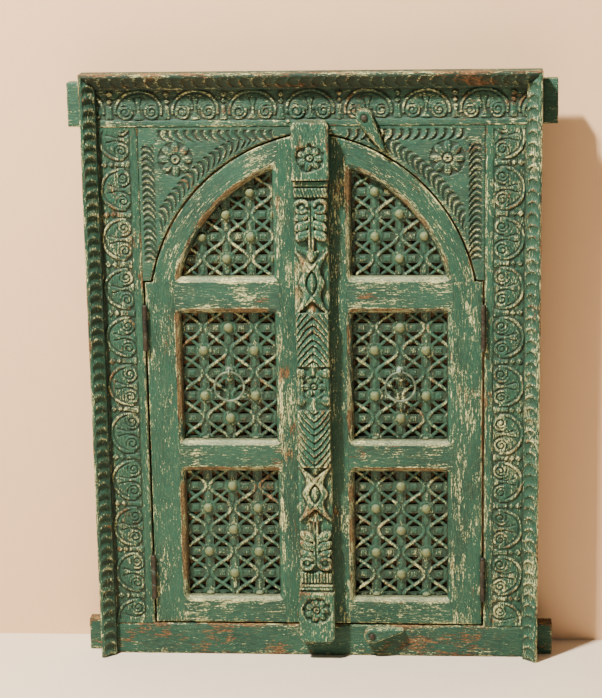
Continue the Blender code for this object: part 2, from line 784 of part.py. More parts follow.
def make_panels(side, holder):
    mirror = side == "left"
    left = STILE_FACE + PANEL_SLACK
    right = HANG_FACE - PANEL_SLACK
    for place, (low, high) in zip(("bottom", "middle"), OPENINGS):
        low, high = low + PANEL_SLACK, high - PANEL_SLACK
        outline = [(left, low), (right, low), (right, high), (left, high)]
        rows = round((high - low) / MESH_Z)
        first = (low + high - (rows - 1) * MESH_Z) / 2 + MESH_LIFT

        def bounds(p, margin, low=low, high=high):
            across = left + margin < p[0] < right - margin
            return across and low + margin < p[1] < high - margin

        cell = ((left + right) / 2, (low + high) / 2 + MESH_LIFT)
        name = f"{side}_panel_{place}"
        bare = cell if place == "middle" else None
        pierced_panel(name, outline, rows, first, holder, mirror, bounds, without=bare)
    radius = HEAD_RADIUS - PANEL_SLACK
    low = LEAF_SPRING + PANEL_SLACK
    first = arch_angle_at_z(low, radius)
    last = arch_angle_at_x(left, radius)
    curve = [arch_point(a, radius) for a in spread(first, last, 12)]
    outline = [*curve, (left, low)]
    rows = int((arch_z(left, radius) - low) / (TOP_MESH * MESH_Z))

    def in_arch(p, margin):
        far = math.hypot(p[0] + ARCH_CENTRE_PAST, p[1] - ARCH_CENTRE_Z)
        return left + margin < p[0] and low + margin < p[1] and far < radius - margin

    first_row = low + PANEL_RIM + TOP_MESH * EYE_Z / 2 + 0.002
    name = f"{side}_panel_top"
    pierced_panel(name, outline, rows, first_row, holder, mirror, in_arch, scale=TOP_MESH)


# The astragal is a run of cross-sections, each (height, half width, depth at the edge, depth
# at the middle, how much higher the middle lies than the edge).
def flat_run(low, high, width, depth):
    return [(low, width, depth, depth, 0), (high, width, depth, depth, 0)]


def chevrons(low, high, count, width, rise, crest, groove):
    # Rows of ridges that meet at the middle. rise is above zero where they point up.
    rows = []
    for i, z in enumerate(spread(low + max(-rise, 0), high - max(rise, 0), 2 * count)):
        depth = (crest, groove)[i % 2] * ASTRAGAL_PROUD
        rows.append((z, width, CHEVRON_EDGE * ASTRAGAL_PROUD, depth, rise))
    return rows


def bulge(low, high, width, edge, crest):
    middle = (low + high) / 2
    near = (high - low) / 4
    half = (edge + crest) / 2
    return [
        (low, width, edge, edge, 0),
        (middle - near, width, edge, half, 0),
        (middle, width, edge, crest, 0),
        (middle + near, width, edge, half, 0),
        (high, width, edge, edge, 0),
    ]


def astragal_run(kind, low, high):
    full = ASTRAGAL_WIDTH / 2
    slim = ASTRAGAL_SLIM * full
    deep = ASTRAGAL_PROUD
    if kind == "block":
        return flat_run(low, high, full, deep)
    if kind == "fillet":
        return flat_run(low, high, slim, 0.80 * deep)
    if kind == "flower":
        return flat_run(low, high, slim, FLOWER_DEPTH * deep)
    if kind == "eye":
        return bulge(low, high, slim, 0.72 * deep, 0.98 * deep)
    count, rise, crest, groove = ASTRAGAL_ROWS[kind]
    return chevrons(low, high, count, slim, rise, crest, groove)


def astragal_sections():
    height = ASTRAGAL_TOP - ASTRAGAL_FOOT
    sections = []
    low = ASTRAGAL_FOOT
    for kind, share in ASTRAGAL_RUNS:
        high = ASTRAGAL_FOOT + share * height
        sections += astragal_run(kind, low, high)
        low = high + ASTRAGAL_STEP
    return sections


def flower_heights():
    # The middles of the two blocks and of the flower between them.
    edges = [0, *(share for _, share in ASTRAGAL_RUNS)]
    for i, (kind, high) in enumerate(ASTRAGAL_RUNS):
        if kind in ("block", "flower"):
            share = (edges[i] + high) / 2
            depth = FLOWER_DEPTH if kind == "flower" else 1
            yield ASTRAGAL_FOOT + share * (ASTRAGAL_TOP - ASTRAGAL_FOOT), depth * ASTRAGAL_PROUD


def make_astragal(holder):
    back = FACE - FIT
    bm = bmesh.new()
    rings = []
    for z, half, edge, middle, rise in astragal_sections():
        across = (
            (-half, 0, 0),
            (-half, edge, 0),
            (0, middle, rise),
            (half, edge, 0),
            (half, 0, 0),
        )
        rings.append([(x, back - depth, z + lift) for x, depth, lift in across])
    loft(bm, rings)
    bar = finished("astragal", bm, holder, painted("astragal"))
    for i, (z, depth) in enumerate(flower_heights()):
        flower = bmesh.new()
        outline = ring_of(0, z, FLOWER_RADIUS, 16)
        centre = Vector((0, z))
        petals = [
            tuple(centre + (Vector(p) - centre) * (1, 0.72)[k % 2]) for k, p in enumerate(outline)
        ]
        crown = [tuple(centre + (Vector(p) - centre) * 0.5) for p in petals]
        front = back - depth
        foot, rim, top = front + FLOWER_BITE, front - FIT, front - FLOWER_PROUD
        loft(flower, [at_depth(petals, foot), at_depth(petals, rim), at_depth(crown, top)])
        wood = painted(f"rosette_{i}")
        joined(bar, finished(f"rosette_{i}", flower, holder, wood))


def turned(axis_x, axis_y, profile, sides=6):
    # profile is (height, radius) pairs, from the foot up.
    rings = []
    for z, radius in profile:
        angles = [math.tau * (i + 0.5) / sides for i in range(sides)]
        rings.append(
            [(axis_x + radius * math.cos(a), axis_y + radius * math.sin(a), z) for a in angles]
        )
    return rings


def plate(bm, x_low, x_high, steps):
    # A hinge plate in the joint between leaf and jamb. steps are (height, front depth) pairs.
    back = HINGE_AXIS[1] + HINGE_RADIUS + HINGE_PLATE_DEPTH
    outline = [(back, steps[0][0])]
    outline += [(y, z) for z, y in steps]
    outline += [(back, steps[-1][0])]
    loft(bm, [[(x, y, z) for y, z in outline] for x in (x_low, x_high)])


def make_hinge(where, side, z, frame_holder, leaf_holder):
    mirror = side == "left"
    axis_x, axis_y = HINGE_AXIS
    low, high = z - HINGE_LENGTH / 2, z + HINGE_LENGTH / 2
    third = HINGE_LENGTH / 3
    first, second = low + third, high - third
    slack = 2 * FIT
    cut_back = FACE + slack
    shank = bmesh.new()
    frame_turn = (
        (low, HINGE_RADIUS),
        (first, HINGE_RADIUS),
        (first, HINGE_PIN),
        (second, HINGE_PIN),
        (second, HINGE_RADIUS),
        (high, HINGE_RADIUS),
    )
    loft(shank, turned(axis_x, axis_y, frame_turn))
    name = f"hinge_{where}_{side}"
    frame_half = finished(name + "_frame_half", shank, frame_holder, iron(name), mirror=mirror)
    tabs = bmesh.new()
    steps = [
        (low, axis_y),
        (first - slack, axis_y),
        (first - slack, cut_back),
        (second + slack, cut_back),
        (second + slack, axis_y),
        (high, axis_y),
    ]
    plate(tabs, JAMB_INSIDE - FIT - HINGE_PLATE, JAMB_INSIDE - FIT, steps)
    joined(
        frame_half, finished(name + "_plate", tabs, frame_holder, iron(name), mirror=mirror)
    )
    barrel = bmesh.new()
    bottom, top = first + slack, second - slack
    leaf_turn = (
        (bottom, HINGE_BORE),
        (bottom, HINGE_RADIUS),
        (top, HINGE_RADIUS),
        (top, HINGE_BORE),
        (bottom, HINGE_BORE),
    )
    loft(barrel, turned(axis_x, axis_y, leaf_turn), capped=False)
    leaf_half = finished(name + "_leaf_half", barrel, leaf_holder, iron(name), mirror=mirror)
    tab = bmesh.new()
    steps = [
        (low, cut_back),
        (bottom + slack, cut_back),
        (bottom + slack, axis_y + 0.8 * HINGE_RADIUS),
        (top - slack, axis_y + 0.8 * HINGE_RADIUS),
        (top - slack, cut_back),
        (high, cut_back),
    ]
    plate(tab, LEAF_EDGE + FIT, LEAF_EDGE + FIT + HINGE_PLATE, steps)
    joined(leaf_half, finished(name + "_tab", tab, leaf_holder, iron(name), mirror=mirror))


def tube_ring(bm, centre, radius, wire, segments, sides, plane):
    # A closed round wire. plane is "xz" or "yz".
    rows = []
    for i in range(segments):
        turn = math.tau * i / segments
        row = []
        for j in range(sides):
            roll = math.tau * j / sides
            out = radius + wire * math.cos(roll)
            a, b, c = out * math.cos(turn), out * math.sin(turn), wire * math.sin(roll)
            x, y, z = (a, c, b) if plane == "xz" else (c, a, b)
            row.append(bm.verts.new(Vector(centre) + Vector((x, y, z))))
        rows.append(row)
    for near, far in zip(rows, rows[1:] + rows[:1]):
        walls(bm, near, far)


def ring_place():
    # The eye of the staple, which the ring swings in.
    low, high = OPENINGS[1]
    middle = (STILE_FACE + HANG_FACE) / 2
    height = (low + high) / 2 + MESH_LIFT + STAPLE_LIFT
    return Vector((middle, PANEL_FRONT - RING_STANDOFF, height))


def make_staple(side, leaf_holder):
    mirror = side == "left"
    eye = ring_place()
    name = side + "_ring_staple"
    dome = bmesh.new()
    seat = PANEL_FRONT - FIT
    height = RING_STANDOFF - STAPLE_RADIUS
    rings = []
    for share, lift in ((1.0, 0.0), (0.9, 0.45), (0.45, 1.0)):
        outline = ring_of(eye.x, eye.z, STAPLE_DOME * share, 8)
        rings.append(at_depth(outline, seat - lift * height))
    loft(dome, rings)
    staple = finished(name, dome, leaf_holder, iron(name), mirror=mirror)
    wire = bmesh.new()
    tube_ring(wire, eye, STAPLE_RADIUS, STAPLE_WIRE, 7, 4, "yz")
    joined(staple, finished(side + "_eye", wire, leaf_holder, iron(name), mirror=mirror))


def make_ring(side, ring_holder):
    bm = bmesh.new()
    centre = ring_place() - Vector((0, 0, RING_RADIUS))
    tube_ring(bm, centre, RING_RADIUS, RING_WIRE, 14, 5, "xz")
    name = side + "_ring"
    finished(name, bm, ring_holder, iron(name), mirror=side == "left", smooth=True)


def latch_outline(x, z, length, angle):
    # A teardrop round the pivot, with its tip at angle from +X.
    reach = length - LATCH_TIP
    lean = math.acos((LATCH_HEAD - LATCH_TIP) / reach)
    points = []
    for i in range(9):
        turn = angle + lean + (math.tau - 2 * lean) * i / 8
        points.append((x + LATCH_HEAD * math.cos(turn), z + LATCH_HEAD * math.sin(turn)))
    tip = (x + reach * math.cos(angle), z + reach * math.sin(angle))
    for i in range(4):
        turn = angle - lean + 2 * lean * i / 3
        points.append((tip[0] + LATCH_TIP * math.cos(turn), tip[1] + LATCH_TIP * math.sin(turn)))
    return points


def make_latch(name, x, z, length, degrees, holder, frame_holder):
    outline = latch_outline(x, z, length, math.radians(degrees))
    front = LATCH_BACK - LATCH_THICKNESS
    bore = ring_of(x, z, LATCH_BORE, 8)
    bm = carved_slab(outline, LATCH_BACK, front, holes=[bore], ease=0.0022)
    finished(name, bm, holder, painted(name))
    screw = bmesh.new()
    under = front - FIT
    profile = (
        (FACE + SCREW_BITE, SCREW_SHANK),
        (under, SCREW_SHANK),
        (under, SCREW_HEAD),
        (under - 0.3 * SCREW_HEAD, SCREW_HEAD),
        (under - 0.55 * SCREW_HEAD, 0.55 * SCREW_HEAD),
    )
    loft(screw, [at_depth(ring_of(x, z, radius, 6), y) for y, radius in profile])
    finished(name + "_screw", screw, frame_holder, iron(name + "_screw"))


def make_panel():
    clear_scene()
    panel = empty("panel", (0, 0, 0))
    panel.location = (0, 0, -MOUNT_Z)
    make_lintel(panel)
    make_sill(panel)
    make_mouldings(panel)
    eye = ring_place()
    for side, sign in (("left", -1), ("right", 1)):
        make_jamb(side, panel)
        make_spandrel(side, panel)
        hinge_place = (sign * HINGE_AXIS[0], HINGE_AXIS[1], (UPPER_HINGE_Z + LOWER_HINGE_Z) / 2)
        leaf = empty(side + "_leaf_hinge", hinge_place, panel)
        make_leaf_frame(side, leaf)
        make_panels(side, leaf)
        make_staple(side, leaf)
        for where, z in (("upper", UPPER_HINGE_Z), ("lower", LOWER_HINGE_Z)):
            make_hinge(where, side, z, panel, leaf)
        ring = empty(side + "_ring_swing", (sign * eye.x, eye.y, eye.z), leaf)
        make_ring(side, ring)
        if side == "right":
            make_astragal(leaf)
    top = empty("top_latch_pivot", (TOP_LATCH_X, LATCH_BACK, TOP_LATCH_Z), panel)
    turn = -90 + TOP_LATCH_ASIDE
    place = (TOP_LATCH_X, TOP_LATCH_Z, TOP_LATCH_LENGTH, turn)
    make_latch("top_latch", *place, top, panel)
    low = (BOTTOM_LATCH_X, LATCH_BACK, BOTTOM_LATCH_Z)
    bottom = empty("bottom_latch_pivot", low, panel)
    turn = 90 - BOTTOM_LATCH_ASIDE
    place = (BOTTOM_LATCH_X, BOTTOM_LATCH_Z, BOTTOM_LATCH_LENGTH, turn)
    make_latch("bottom_latch", *place, bottom, panel)


make_panel()
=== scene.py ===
import math

import bpy
import bmesh
import numpy as np
from mathutils import Matrix, Vector


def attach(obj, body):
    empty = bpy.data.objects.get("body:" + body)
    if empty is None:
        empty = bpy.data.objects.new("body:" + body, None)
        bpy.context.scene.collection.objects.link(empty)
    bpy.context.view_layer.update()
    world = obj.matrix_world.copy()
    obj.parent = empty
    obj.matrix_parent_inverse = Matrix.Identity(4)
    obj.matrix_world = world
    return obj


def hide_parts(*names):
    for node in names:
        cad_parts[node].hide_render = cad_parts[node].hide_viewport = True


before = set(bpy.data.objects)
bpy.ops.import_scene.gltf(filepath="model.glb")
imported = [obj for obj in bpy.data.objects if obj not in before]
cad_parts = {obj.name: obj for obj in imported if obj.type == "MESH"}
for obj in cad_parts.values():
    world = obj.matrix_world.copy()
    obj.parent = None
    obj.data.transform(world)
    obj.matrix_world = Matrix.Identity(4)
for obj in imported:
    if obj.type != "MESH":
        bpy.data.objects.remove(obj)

print("frame loaded")
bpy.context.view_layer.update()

# All the making is in millimetres from the middle of the sill's foot, as the panel hangs:
# x to the right, z up, y from the wall plane and below zero towards the room.
mountUp = 852.5
face = -36.0
arch = {
    "past": 29.0, "centre": 539.972, "radius": 274.962, "gap": 3.0, "headWidth": 31.0, "spring": 591.972,
}
leafRadius = arch["radius"] - arch["gap"]
headRadius = leafRadius - arch["headWidth"]
leafSpring = arch["spring"] - arch["gap"]
stileX = 50.0
hangX = 206.927
leafEdge = 250.1
meetingX = 2.6
leafFoot = 53.0
coreX = 320.0
openings = ((87.0, 302.972), (336.972, 548.972))
lip = {"width": 8.0, "reach": 9.0, "back": -24.0, "leafBack": -10.0, "round": 12.0}
fit = 0.3


def fromArch(x, z):
    # distance from the centre that the right half of the arch is struck from
    return np.hypot(x + arch["past"], z - arch["centre"])


def archX(z, radius):
    return np.sqrt(np.maximum(radius**2 - (z - arch["centre"]) ** 2, 0)) - arch["past"]


def archZ(x, radius):
    return arch["centre"] + np.sqrt(np.maximum(radius**2 - (x + arch["past"]) ** 2, 0))


# numbers
def ease(low, high, value):
    t = np.clip((value - low) / (high - low), 0, 1)
    return t * t * (3 - 2 * t)


def bead(distance, half):
    # the round top of a ridge, from 1 at its middle to 0 at half
    return np.sqrt(np.clip(1 - (distance / half) ** 2, 0, 1))


def valueNoise(u, v, seed):
    # smooth noise from -1 to 1 with a cell of 1
    rng = np.random.default_rng(seed)
    table = rng.uniform(-1, 1, (64, 64))
    i, j = np.floor(u).astype(int), np.floor(v).astype(int)
    fu, fv = u - i, v - j
    fu, fv = fu * fu * (3 - 2 * fu), fv * fv * (3 - 2 * fv)
    a, b = table[i % 64, j % 64], table[(i + 1) % 64, j % 64]
    c, d = table[i % 64, (j + 1) % 64], table[(i + 1) % 64, (j + 1) % 64]
    return (a * (1 - fu) + b * fu) * (1 - fv) + (c * (1 - fu) + d * fu) * fv


def within(x, z, left, right, low, high):
    # how far inside a straight board each point lies
    return np.minimum(np.minimum(x - left, right - x), np.minimum(z - low, high - z))


def patchy(x, z, wide, tall, seed, low=0.1, high=0.9):
    return ease(low, high, valueNoise(x / wide, z / tall, seed))


def lines(low, high, step, fine=(), rim=0.25):
    # grid lines from low to high, closer near each end and inside each fine stretch
    marks = [low - rim, low + rim, low + 1.1, low + 2.4]
    at = low + 2.4
    while at < high - 2.4:
        near = step
        for a, b, close in fine:
            if a - near < at < b:
                near = min(near, close)
        at += near
        marks.append(at)
    marks = [m for m in marks if m < high - 2.6] + [high - 2.4, high - 1.1, high - rim, high + rim]
    return np.array(marks)


def blurred(values, times):
    out = values.copy()
    for _ in range(times):
        pad = np.pad(out, 1, mode="edge")
        out = (pad[:-2, 1:-1] + pad[2:, 1:-1] + pad[1:-1, :-2] + pad[1:-1, 2:] + 2 * out) / 6
    return out


# meshes
def intoScene(name, data):
    made = bpy.data.objects.new(name, data)
    bpy.context.scene.collection.objects.link(made)
    return made


def makeMesh(name, points, faces, smoothFaces=None, values=None, sharp=None):
    # points is (n, 3) in millimetres, faces is a list of (k, corners) arrays
    mesh = bpy.data.meshes.new(name)
    world = np.array(points, float) / 1000
    world[:, 2] -= mountUp / 1000
    mesh.vertices.add(len(world))
    mesh.vertices.foreach_set("co", world.astype(np.float32).ravel())
    faces = [np.asarray(f, np.int32) for f in faces if len(f)]
    corners = np.concatenate([f.ravel() for f in faces])
    counts = np.concatenate([np.full(len(f), f.shape[1], np.int32) for f in faces])
    starts = np.concatenate([[0], np.cumsum(counts)[:-1]]).astype(np.int32)
    mesh.loops.add(len(corners))
    mesh.loops.foreach_set("vertex_index", corners)
    mesh.polygons.add(len(counts))
    mesh.polygons.foreach_set("loop_start", starts)
    if smoothFaces is None:
        smoothFaces = np.ones(len(counts), bool)
    mesh.polygons.foreach_set("use_smooth", smoothFaces)
    mesh.update(calc_edges=True)
    if sharp is not None:
        ends = np.zeros(len(mesh.edges) * 2, np.int32)
        mesh.edges.foreach_get("vertices", ends)
        flags = sharp[ends.reshape(-1, 2)].all(1)
        mark = mesh.attributes.new("sharp_edge", "BOOLEAN", "EDGE")
        mark.data.foreach_set("value", flags)
    for key, data in (values or {}).items():
        data = np.asarray(data, np.float32)
        kind = "FLOAT_VECTOR" if data.ndim == 2 else "FLOAT"
        layer = mesh.attributes.new(key, kind, "POINT")
        layer.data.foreach_set("vector" if data.ndim == 2 else "value", data.ravel())
    return intoScene(name, mesh)


def settle(piece, body, slot, material, *nodes):
    piece.data.materials.clear()
    piece.data.materials.append(material)
    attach(piece, body)
    if nodes:
        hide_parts(*nodes)
    return piece


def fillBack(flat, edges):
    # triangles across the closed outlines that the edges make, holes left open
    bm = bmesh.new()
    verts = [bm.verts.new((x, z, 0)) for x, z in flat]
    made = [bm.edges.new((verts[a], verts[b])) for a, b in edges if a != b]
    bmesh.ops.triangle_fill(bm, use_beauty=False, use_dissolve=False, edges=made)
    bm.verts.index_update()
    found = []
    for f in bm.faces:
        ring = [v.index for v in f.verts]
        if f.normal.z > 0:
            ring.reverse()
        found.append(ring)
    bm.free()
    return np.array(found, np.int32).reshape(-1, 3)


def carve(name, xs, zs, inside, front, back, grain, marks=None, mirror=False):
    # A carved board: inside(x, z) is above zero in the wood, front(x, z) and back are depths.
    # grain turns (x, y, z) into the paint's coordinates, with its third along the grain.
    gx, gz = np.meshgrid(xs, zs, indexing="ij")
    field = inside(gx, gz)
    wood = field > 0
    nx, nz = len(xs), len(zs)
    index = np.full((nx, nz), -1, int)
    index[wood] = np.arange(wood.sum())
    px, pz = list(gx[wood]), list(gz[wood])
    quads = wood[:-1, :-1] & wood[1:, :-1] & wood[1:, 1:] & wood[:-1, 1:]
    qi, qj = np.nonzero(quads)
    quadFaces = np.stack([index[qi, qj], index[qi + 1, qj], index[qi + 1, qj + 1], index[qi, qj + 1]], 1)
    anyWood = wood[:-1, :-1] | wood[1:, :-1] | wood[1:, 1:] | wood[:-1, 1:]
    mixed = anyWood & ~quads
    crossings = {}
    polys = {3: [], 4: [], 5: [], 6: []}
    rimEdges = []

    def crossAt(a, b):
        key = (a, b) if a < b else (b, a)
        if key not in crossings:
            fa, fb = field[a], field[b]
            t = float(np.clip(fa / (fa - fb), 0.02, 0.98))
            crossings[key] = len(px)
            px.append(gx[a] + (gx[b] - gx[a]) * t)
            pz.append(gz[a] + (gz[b] - gz[a]) * t)
        return crossings[key]

    for i, j in zip(*np.nonzero(mixed)):
        ring = ((i, j), (i + 1, j), (i + 1, j + 1), (i, j + 1))
        poly, leaving, entering = [], [], []
        for k in range(4):
            a, b = ring[k], ring[(k + 1) % 4]
            if wood[a]:
                poly.append(index[a])
            if wood[a] != wood[b]:
                c = crossAt(a, b)
                poly.append(c)
                (leaving if wood[a] else entering).append((k, c))
        for k, c in leaving:
            later = [e for e in entering if e[0] > k] or entering
            rimEdges.append((c, later[0][1]))
        if len(poly) >= 3:
            polys[len(poly)].append(poly)
    px, pz = np.array(px), np.array(pz)
    py = front(px, pz)
    count = len(px)
    rims = sorted({v for e in rimEdges for v in e})
    backOf = {v: count + k for k, v in enumerate(rims)}
    rimList = np.array(rims)
    backY = np.full(len(rims), back, float)
    pointsX = np.concatenate([px, px[rimList]])
    pointsY = np.concatenate([py, backY])
    pointsZ = np.concatenate([pz, pz[rimList]])
    walls = np.array([(b, a, backOf[a], backOf[b]) for a, b in rimEdges], np.int32)
    groups = [quadFaces] + [np.array(polys[k], np.int32).reshape(-1, k) for k in (3, 4, 5, 6)]
    smoothCount = sum(len(g) for g in groups)
    # seen from the room x runs right and z up, so this order faces -y
    groups.append(walls)
    local = {v: k for k, v in enumerate(rims)}
    flat = list(zip(px[rimList], pz[rimList]))
    tris = fillBack(flat, [(local[a], local[b]) for a, b in rimEdges])
    groups.append(tris + count)
    values = {}
    for key, rule in (marks or {}).items():
        data = rule(px, pz)
        values[key] = np.concatenate([data, data[rimList]])
    g = grain(pointsX, pointsY, pointsZ)
    values["grain"] = np.stack(g, 1)
    points = np.stack([pointsX, pointsY, pointsZ], 1)
    faces = [np.asarray(f) for f in groups if len(f)]
    if mirror:
        points[:, 0] *= -1
        faces = [f[:, ::-1] for f in faces]
    total = sum(len(f) for f in faces)
    smoothFaces = np.zeros(total, bool)
    smoothFaces[:smoothCount] = True
    sharp = np.zeros(len(points), bool)
    sharp[rimList] = True
    return makeMesh(name, points, faces, smoothFaces, values, sharp)


def faceOut(piece, weld=0.0, soften=0.0):
    # turns every face outwards, after a weld and before a soft bevel where asked
    bm = bmesh.new()
    bm.from_mesh(piece.data)
    if weld:
        bmesh.ops.remove_doubles(bm, verts=bm.verts, dist=weld)
    bmesh.ops.recalc_face_normals(bm, faces=bm.faces)
    if soften:
        bmesh.ops.bevel(bm, geom=bm.edges[:], offset=soften / 1000, segments=2, affect="EDGES")
    bm.to_mesh(piece.data)
    bm.free()
    return piece


def upright(seed):
    return lambda x, y, z: (x + seed * 37.3, y + seed * 11.1, z + seed * 53.9)


def level(seed):
    return lambda x, y, z: (z + seed * 37.3, y + seed * 11.1, x + seed * 53.9)


# paint
tones = {
    "greenDark": (0.005, 0.031, 0.021), "greenMid": (0.012, 0.067, 0.043),
    "greenPale": (0.042, 0.140, 0.086), "cream": (0.76, 0.76, 0.37), "buff": (0.34, 0.35, 0.16),
    "woodDark": (0.040, 0.020, 0.009), "woodLight": (0.300, 0.135, 0.045), "grimeAndShade": (0.008, 0.012, 0.006),
    "bead": (0.38, 0.41, 0.23), "boss": (0.150, 0.170, 0.070),
}


def freshMaterial(name):
    material = bpy.data.materials.new(name)
    material.use_nodes = True
    nodes, links = material.node_tree.nodes, material.node_tree.links
    return material, nodes, links, nodes["Principled BSDF"]


def roughSkin(nodes, links, shader, height, strength, distance):
    # fine unevenness under the finish
    bump = nodes.new("ShaderNodeBump")
    bump.inputs["Strength"].default_value = strength
    bump.inputs["Distance"].default_value = distance
    links.new(height, bump.inputs["Height"])
    links.new(bump.outputs["Normal"], shader.inputs["Normal"])


def paint(name, tint, flakes, bare, dirtAndShade, seed, along=0.09, gloss=0.35):
    # Chalky green over buff primer over wood. Flakes and bare wood break through along the grain,
    # most of all where the wear mark is high. Where the pit mark is high the colour is darkened with painted
    # shade, and dirt lies in patches.
    material, nodes, links, shader = freshMaterial(name)

    def node(kind, **settings):
        made = nodes.new(kind)
        for key, value in settings.items():
            setattr(made, key, value)
        return made

    def feed(socket, value):
        if isinstance(value, bpy.types.NodeSocket):
            links.new(value, socket)
        else:
            socket.default_value = value

    def calc(operation, a, b=0.0, c=0.0, clamp=False):
        made = node("ShaderNodeMath", operation=operation, use_clamp=clamp)
        for socket, value in zip(made.inputs, (a, b, c)):
            feed(socket, value)
        return made.outputs[0]

    def noise(scale, detail, rough, stretch, shift):
        place = node("ShaderNodeMapping")
        place.inputs["Scale"].default_value = (scale, scale, scale * stretch)
        place.inputs["Location"].default_value = (shift + seed, 0.7 * shift, 1.3 * shift + seed)
        links.new(grain.outputs["Vector"], place.inputs["Vector"])
        made = node("ShaderNodeTexNoise")
        made.inputs["Scale"].default_value = 1.0
        made.inputs["Detail"].default_value = detail
        made.inputs["Roughness"].default_value = rough
        links.new(place.outputs["Vector"], made.inputs["Vector"])
        return made.outputs["Fac"]

    def band(value, low, high):
        made = node("ShaderNodeMapRange", interpolation_type="SMOOTHSTEP")
        made.inputs["From Min"].default_value = low
        made.inputs["From Max"].default_value = high
        links.new(value, made.inputs["Value"])
        return made.outputs["Result"]

    def mix(amount, low, high):
        made = node("ShaderNodeMix", data_type="RGBA")
        feed(made.inputs["Factor"], amount)
        feed(made.inputs[6], low)
        feed(made.inputs[7], high)
        return made.outputs[2]

    def tone(key, k=1.0):
        return (*(c * k for c in tones[key]), 1.0)

    grain = node("ShaderNodeAttribute", attribute_name="grain")
    marks = [node("ShaderNodeAttribute", attribute_name=key) for key in ("wear", "pit", "pale")]
    wear, pit, pale = (mark.outputs["Fac"] for mark in marks)
    blotch = noise(0.020, 3.0, 0.6, 0.5, 0.0)
    patch = noise(0.050, 4.0, 0.65, 0.35, 7.0)
    spread = noise(0.034, 4.0, 0.65, 0.5, 23.0)
    streak = noise(0.85, 4.0, 0.68, along, 3.0)
    second = noise(0.60, 5.0, 0.72, 1.5 * along, 41.0)
    thread = noise(1.7, 3.0, 0.6, 0.04, 11.0)
    fleck = noise(0.55, 3.0, 0.62, 0.5, 19.0)
    base = mix(band(blotch, 0.32, 0.68), tone("greenDark", tint), tone("greenMid", tint))
    base = mix(calc("MULTIPLY", band(streak, 0.42, 0.60), 0.75), base, tone("greenMid", 1.20 * tint))
    base = mix(calc("MULTIPLY", band(fleck, 0.52, 0.66), 0.40), base, tone("greenPale", tint))
    base = mix(calc("MULTIPLY", band(second, 0.50, 0.66), 0.14), base, tone("buff"))
    # the pale mark paints a highlight on the foot of each opening and gives the bosses a paler tone
    cover = calc("MULTIPLY_ADD", band(fleck, 0.36, 0.56), 0.60, 0.32)
    base = mix(calc("MULTIPLY", pale, cover), base, tone("bead"))
    # the bosses carry a wear mark below zero: smooth, darker and a little shiny
    polish = calc("MULTIPLY", wear, -1.0, 0.0, True)
    base = mix(calc("MULTIPLY", polish, 1.3), base, tone("boss"))
    # flakes down to the primer
    lift = calc("MULTIPLY_ADD", wear, 0.15, calc("MULTIPLY_ADD", patch, 0.58, streak))
    lift = calc("MULTIPLY_ADD", fleck, 0.42, lift)
    edge = 1.185 - 0.13 * flakes
    flake = band(lift, edge, edge + 0.04)
    primer = mix(band(fleck, 0.40, 0.62), tone("buff"), tone("cream"))
    color = mix(calc("MULTIPLY", flake, 0.86), base, primer)
    # and rubbed down to the wood
    deep = calc("MULTIPLY_ADD", wear, 0.17, calc("MULTIPLY_ADD", spread, 1.10, second))
    deep = calc("MULTIPLY_ADD", pale, -0.30, deep)
    edge = 1.32 - 0.13 * bare
    through = band(deep, edge, edge + 0.07)
    ring = calc("MULTIPLY_ADD", fleck, 0.5, calc("MULTIPLY", streak, 0.5))
    wood = mix(band(ring, 0.42, 0.60), tone("woodDark"), tone("woodLight"))
    color = mix(calc("MULTIPLY", through, 0.85), color, wood)
    crack = calc("MULTIPLY", band(thread, 0.56, 0.64), 0.50)
    color = mix(crack, color, tone("grimeAndShade", 2.0))
    # darkened by dirt in patches and by painted shade where the pit mark is high
    grimeAndShade = calc("MULTIPLY", band(calc("MULTIPLY_ADD", patch, 0.5, pit), 0.28, 1.00), dirtAndShade)
    color = mix(grimeAndShade, color, tone("grimeAndShade"))
    links.new(color, shader.inputs["Base Color"])
    chalk = calc("MULTIPLY_ADD", streak, 0.30, 0.42 - 0.5 * (gloss - 0.35))
    rough = calc("MULTIPLY_ADD", flake, 0.14, chalk)
    rough = calc("MULTIPLY_ADD", polish, -0.50, rough)
    links.new(calc("MULTIPLY_ADD", through, 0.10, rough, True), shader.inputs["Roughness"])
    shader.inputs["Specular IOR Level"].default_value = gloss
    height = calc("MULTIPLY_ADD", flake, -0.50, calc("MULTIPLY", streak, 0.9))
    height = calc("MULTIPLY_ADD", through, -0.40, height)
    height = calc("MULTIPLY_ADD", thread, -0.50, height)
    height = calc("MULTIPLY_ADD", fleck, 0.60, height)
    roughSkin(nodes, links, shader, height, 0.8, 0.0011)
    return material


def ironPaint(name, dark, light, rust, shine):
    material, nodes, links, shader = freshMaterial(name)
    place = nodes.new("ShaderNodeTexCoord")
    coarse, fine = nodes.new("ShaderNodeTexNoise"), nodes.new("ShaderNodeTexNoise")
    for made, scale in ((coarse, 90.0), (fine, 620.0)):
        made.inputs["Scale"].default_value = scale
        made.inputs["Detail"].default_value = 5.0
        links.new(place.outputs["Object"], made.inputs["Vector"])
    ramp = nodes.new("ShaderNodeValToRGB")
    ramp.color_ramp.elements[0].position = 0.36
    ramp.color_ramp.elements[0].color = (*dark, 1)
    ramp.color_ramp.elements[1].position = 0.66
    ramp.color_ramp.elements[1].color = (*light, 1)
    middle = ramp.color_ramp.elements.new(0.56)
    middle.color = (*rust, 1)
    links.new(coarse.outputs["Fac"], ramp.inputs["Fac"])
    links.new(ramp.outputs["Color"], shader.inputs["Base Color"])
    shader.inputs["Metallic"].default_value = shine
    rough = nodes.new("ShaderNodeMapRange")
    rough.inputs["To Min"].default_value = 0.36
    rough.inputs["To Max"].default_value = 0.72
    links.new(fine.outputs["Fac"], rough.inputs["Value"])
    links.new(rough.outputs["Result"], shader.inputs["Roughness"])
    roughSkin(nodes, links, shader, fine.outputs["Fac"], 0.5, 0.0003)
    return material


